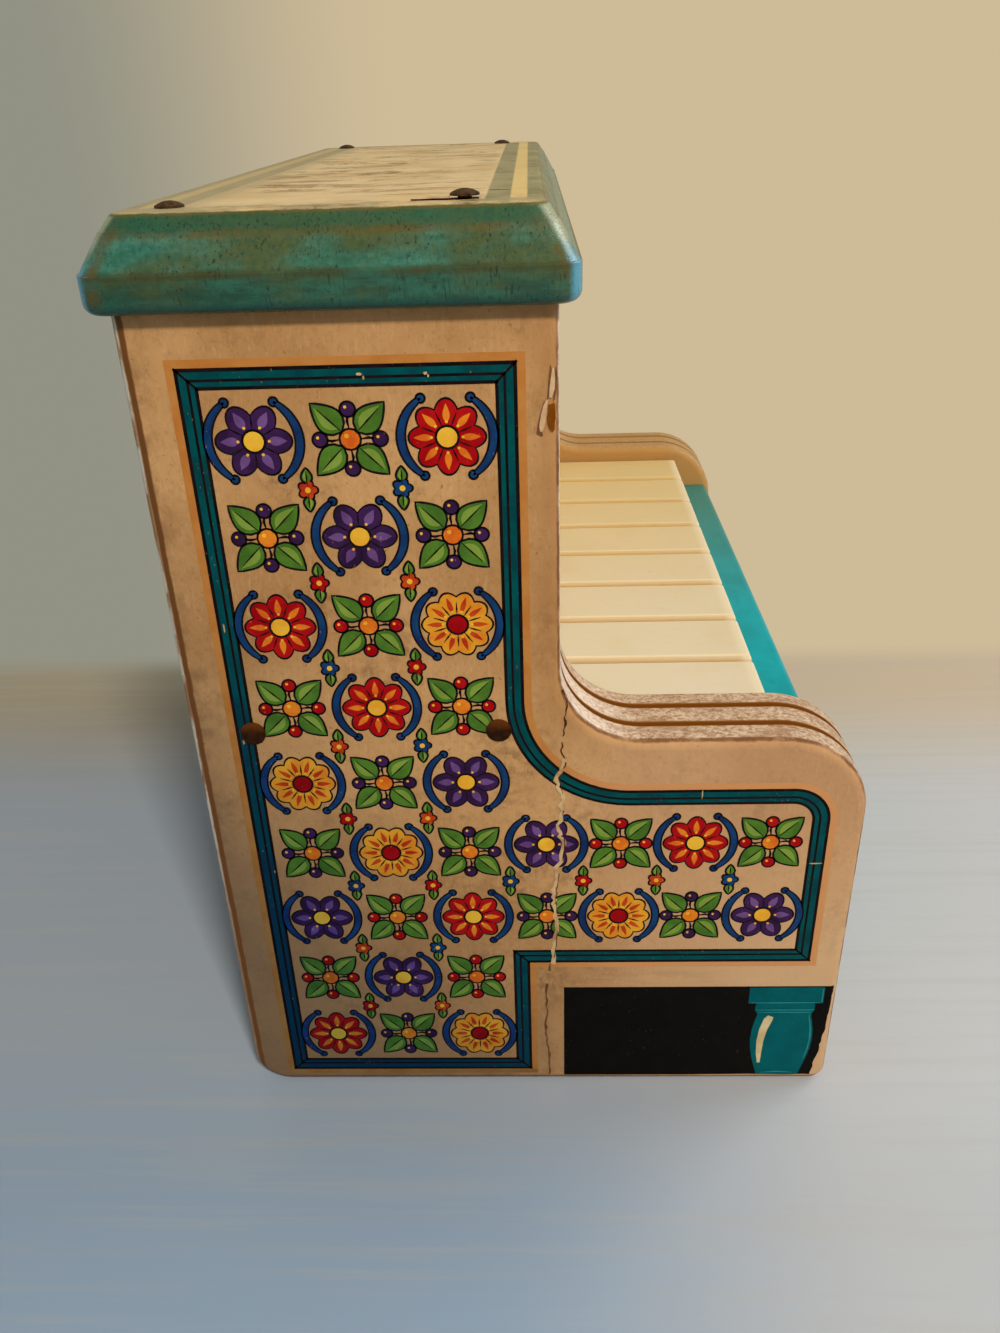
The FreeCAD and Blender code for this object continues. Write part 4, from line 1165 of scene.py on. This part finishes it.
def crack(art):
    """Torn paint along the crack in the near side panel, and its dark stretches."""
    torn_low, torn_high = TORN_HEIGHTS
    line = jagged_crack()
    torn = [(u + TORN_WANDER * wave(z * 1.2, 1.5), z) for u, z in line if torn_low < z < torn_high]
    widths = [TORN_WIDTH + TORN_UNEVEN * wave(z * 1.3, 8) for u, z in torn]
    art.ink("torn").strip(*stroke(torn, widths))
    shifted = []
    for u, z in line:
        aside = DARK_ASIDE if SPLIT_FOOT < z < torn_high else 0
        shifted.append((u + aside + DARK_WANDER * wave(z * 0.9, 3.5), z))
    for ink_name, low, high, width in CRACK_DARK:
        for dash in dashes([(u, z) for u, z in shifted if low <= z < high], width):
            art.ink(ink_name).line(dash)


def near_panel_damage():
    """The crack, the chip and the paint nicks that show on the near side panel."""
    art = Art(-1)
    crack(art)
    for k, nick in enumerate(NICKS):
        art.ink("torn").polygon(blob(*nick, 4 + k))
    art.ink("bare").polygon(blob(*CHIP_BARE, 1))
    for shadow in CHIP_SHADOWS:
        art.ink("shadow_brown").line(shadow)
    for curl in CHIP_CURLS:
        art.ink("curl").line(curl)
    art.pieces("near_panel_{}")


def lid_damage():
    """Tear beside the loose nail, with lifted pale paint, and a short crack across the front bands."""
    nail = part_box("lid_nails")[0] / MM
    nail_x = nail.x + LID_NAIL_RADIUS
    nail_y = nail.y + LID_NAIL_RADIUS + LOOSE_NAIL_SHIFT
    for name, ink_name, lift, x, y, line in (
        ("lid_gap", "fine_line", LID_GAP_RISE, nail_x, nail_y, LID_GAP),
        ("lid_tear", "split", LID_CRACK_RISE, nail_x + LID_CRACK_OFF_NAIL, LID_MIDDLE_Y, LID_CRACK),
        ("lid_flake", "curl", LID_FLAKE_RISE, nail_x, nail_y, LID_FLAKE),
    ):
        plates = Plates(on_lid, lift)
        plates.line([(x + a, y + b, width) for a, b, width in line])
        plates.piece(name, ink_name, "cabinet", "teal_paint")


def dress_nodes():
    """Give every solid its material by the slot that the record names for it."""
    finishes = {
        "printed_plywood": plywood_paint(),
        "teal_paint": slip_paint(),
        "black_paint": flat_paint("satin_black", (26, 23, 20), (34, 29, 25)),
        "cream_paint": flat_paint("aged_cream", (222, 196, 150), (212, 182, 135)),
        "hardboard": pressed_board(),
        "bare_wood": bare_wood(),
        "felt": felt(),
        "rusted_steel": metal("rusted_steel", (80, 54, 28), (44, 30, 16), (0.6, 0.9), 0.9,
                              metallic=0.15, depth=0.12),
        "cast_metal": metal("cast_metal", (92, 92, 94), (62, 62, 64), (0.5, 0.75), 0.8, depth=0.1),
        "steel": metal("drawn_steel", (196, 196, 198), (160, 160, 164), (0.22, 0.4), 0.8, (8, 1, 6)),
        "hammer_plastic": flat_paint("hammer_plastic", (224, 216, 190), (212, 200, 168)),
        "ivory_plastic": ivory(),
    }
    own_finish = {"lid": lid_paint(), "side_nails": nail_head()}
    for row in frame["record"]["subparts"]:
        node = frame["nodes"][row["node"]]
        finish = own_finish.get(row["node"], finishes[row["material_slot"]])
        node.data.materials.clear()
        node.data.materials.append(finish)


def make_camera():
    """Camera where the photograph was taken from."""
    yaw, pitch, roll = (math.radians(angle) for angle in CAMERA_ANGLES)
    ahead = Vector((math.cos(yaw) * math.cos(pitch), -math.sin(yaw) * math.cos(pitch), -math.sin(pitch)))
    right = Vector((-math.sin(yaw), -math.cos(yaw), 0))
    down = ahead.cross(right)
    across = right * math.cos(roll) + down * math.sin(roll)
    up = right * math.sin(roll) - down * math.cos(roll)
    data = bpy.data.cameras.new("camera")
    data.sensor_width = SENSOR
    data.lens = SENSOR * FOCAL_PIXELS / PHOTO_HEIGHT
    data.clip_start = CLIP_START * MM
    made = placed("camera", data)
    turn = Matrix((across, up, -ahead)).transposed().to_4x4()
    made.matrix_world = Matrix.Translation(Vector((CAMERA_X, CAMERA_Y, CAMERA_Z)) * MM) @ turn
    bpy.context.scene.camera = made


def make_floor():
    """Pale floor with faint grain and painted shade, darker to the left and cooler near the camera; past the
    piano it is seen as a warm glowing backdrop.
    """
    paint = Paint("pale_floor", roughness=0.4)
    left = paint.y.rise(*FLOOR_SHADE_FADE)
    grain = paint.noise(14, (0.25, 7, 1), detail=7)
    # Painted shade: the floor darker to the left, and cooler and darker near the camera
    floor = paint.mix(left, *FLOOR_SHADE_TONES).cover(
        (paint.x.rise(*FLOOR_WARMING), paint.mix(left, *FLOOR_FAR_SHADE_TONES)),
        (paint.x.fall(*FLOOR_NEAR_SHADE_SPAN), paint.y.tones(*FLOOR_NEAR_SHADE_FADE, *FLOOR_NEAR_SHADE_TONES)),
        (grain.rise(0.45, 0.72, 0.3), FLOOR_GRAIN),
    )
    paint.finished(floor, grain, 0.1, 0.3)
    back = paint.y - CAMERA_Y
    towards_back = paint.math("DIVIDE", back, paint.length(back, paint.x - CAMERA_X))
    wall = paint.wall("ShaderNodeEmission", towards_back)
    past = paint.most(paint.x.rise(*FLOOR_TURN), paint.length(paint.x, paint.y).rise(*FLOOR_END))
    paint.surface("Material Output", past * paint.seen_ray(), paint.shader, wall)
    mesh = bmesh.new()
    bmesh.ops.create_circle(mesh, cap_ends=True, segments=FLOOR_SIDES, radius=FLOOR_RADIUS)
    made = mesh_object("floor", mesh, paint.material)


def make_world():
    """Even room light; the camera and shiny paint see the same backdrop as on the far floor."""
    world = bpy.data.worlds.new("studio")
    bpy.context.scene.world = world
    world.use_nodes = True
    nodes = Nodes(world.node_tree)
    light = world.node_tree.nodes["Background"]
    light.inputs["Color"].default_value = ROOM_COLOUR
    light.inputs["Strength"].default_value = ROOM_LIGHT
    direction = nodes.made("ShaderNodeTexCoord", {}, "Generated")
    level = nodes.made("ShaderNodeVectorMath", {0: direction, 1: (1, 1, 0)}, operation="MULTIPLY")
    unit = nodes.made("ShaderNodeVectorMath", {0: level}, operation="NORMALIZE")
    wall = nodes.wall("ShaderNodeBackground", nodes.split(unit)[1])
    nodes.surface("World Output", nodes.seen_ray(), light, wall)


def make_lamps():
    """Square lamps aimed at the middle of the piano, with or without a highlight on shiny paint."""
    target = Vector((0, 0, PANEL_TOP * MM / 2))
    for name, place, size, power, colour, shines in LAMPS:
        data = bpy.data.lights.new(name, "AREA")
        data.size = size
        data.energy = power
        data.color = colour
        made = placed(name, data)
        made.visible_glossy = shines
        made.location = place
        made.rotation_euler = (target - made.location).to_track_quat("-Z", "Y").to_euler()


def main():
    dress_nodes()
    for name, side in (("left", -1), ("right", 1)):
        art = Art(side)
        floral_design(art)
        printed_frame(art)
        black_block(art)
        turned_leg(art)
        art.pieces(name + "_{}_print")
    near_panel_damage()
    lid_damage()
    make_camera()
    make_floor()
    make_world()
    make_lamps()
    bpy.context.scene.view_settings.view_transform = "Standard"


main()
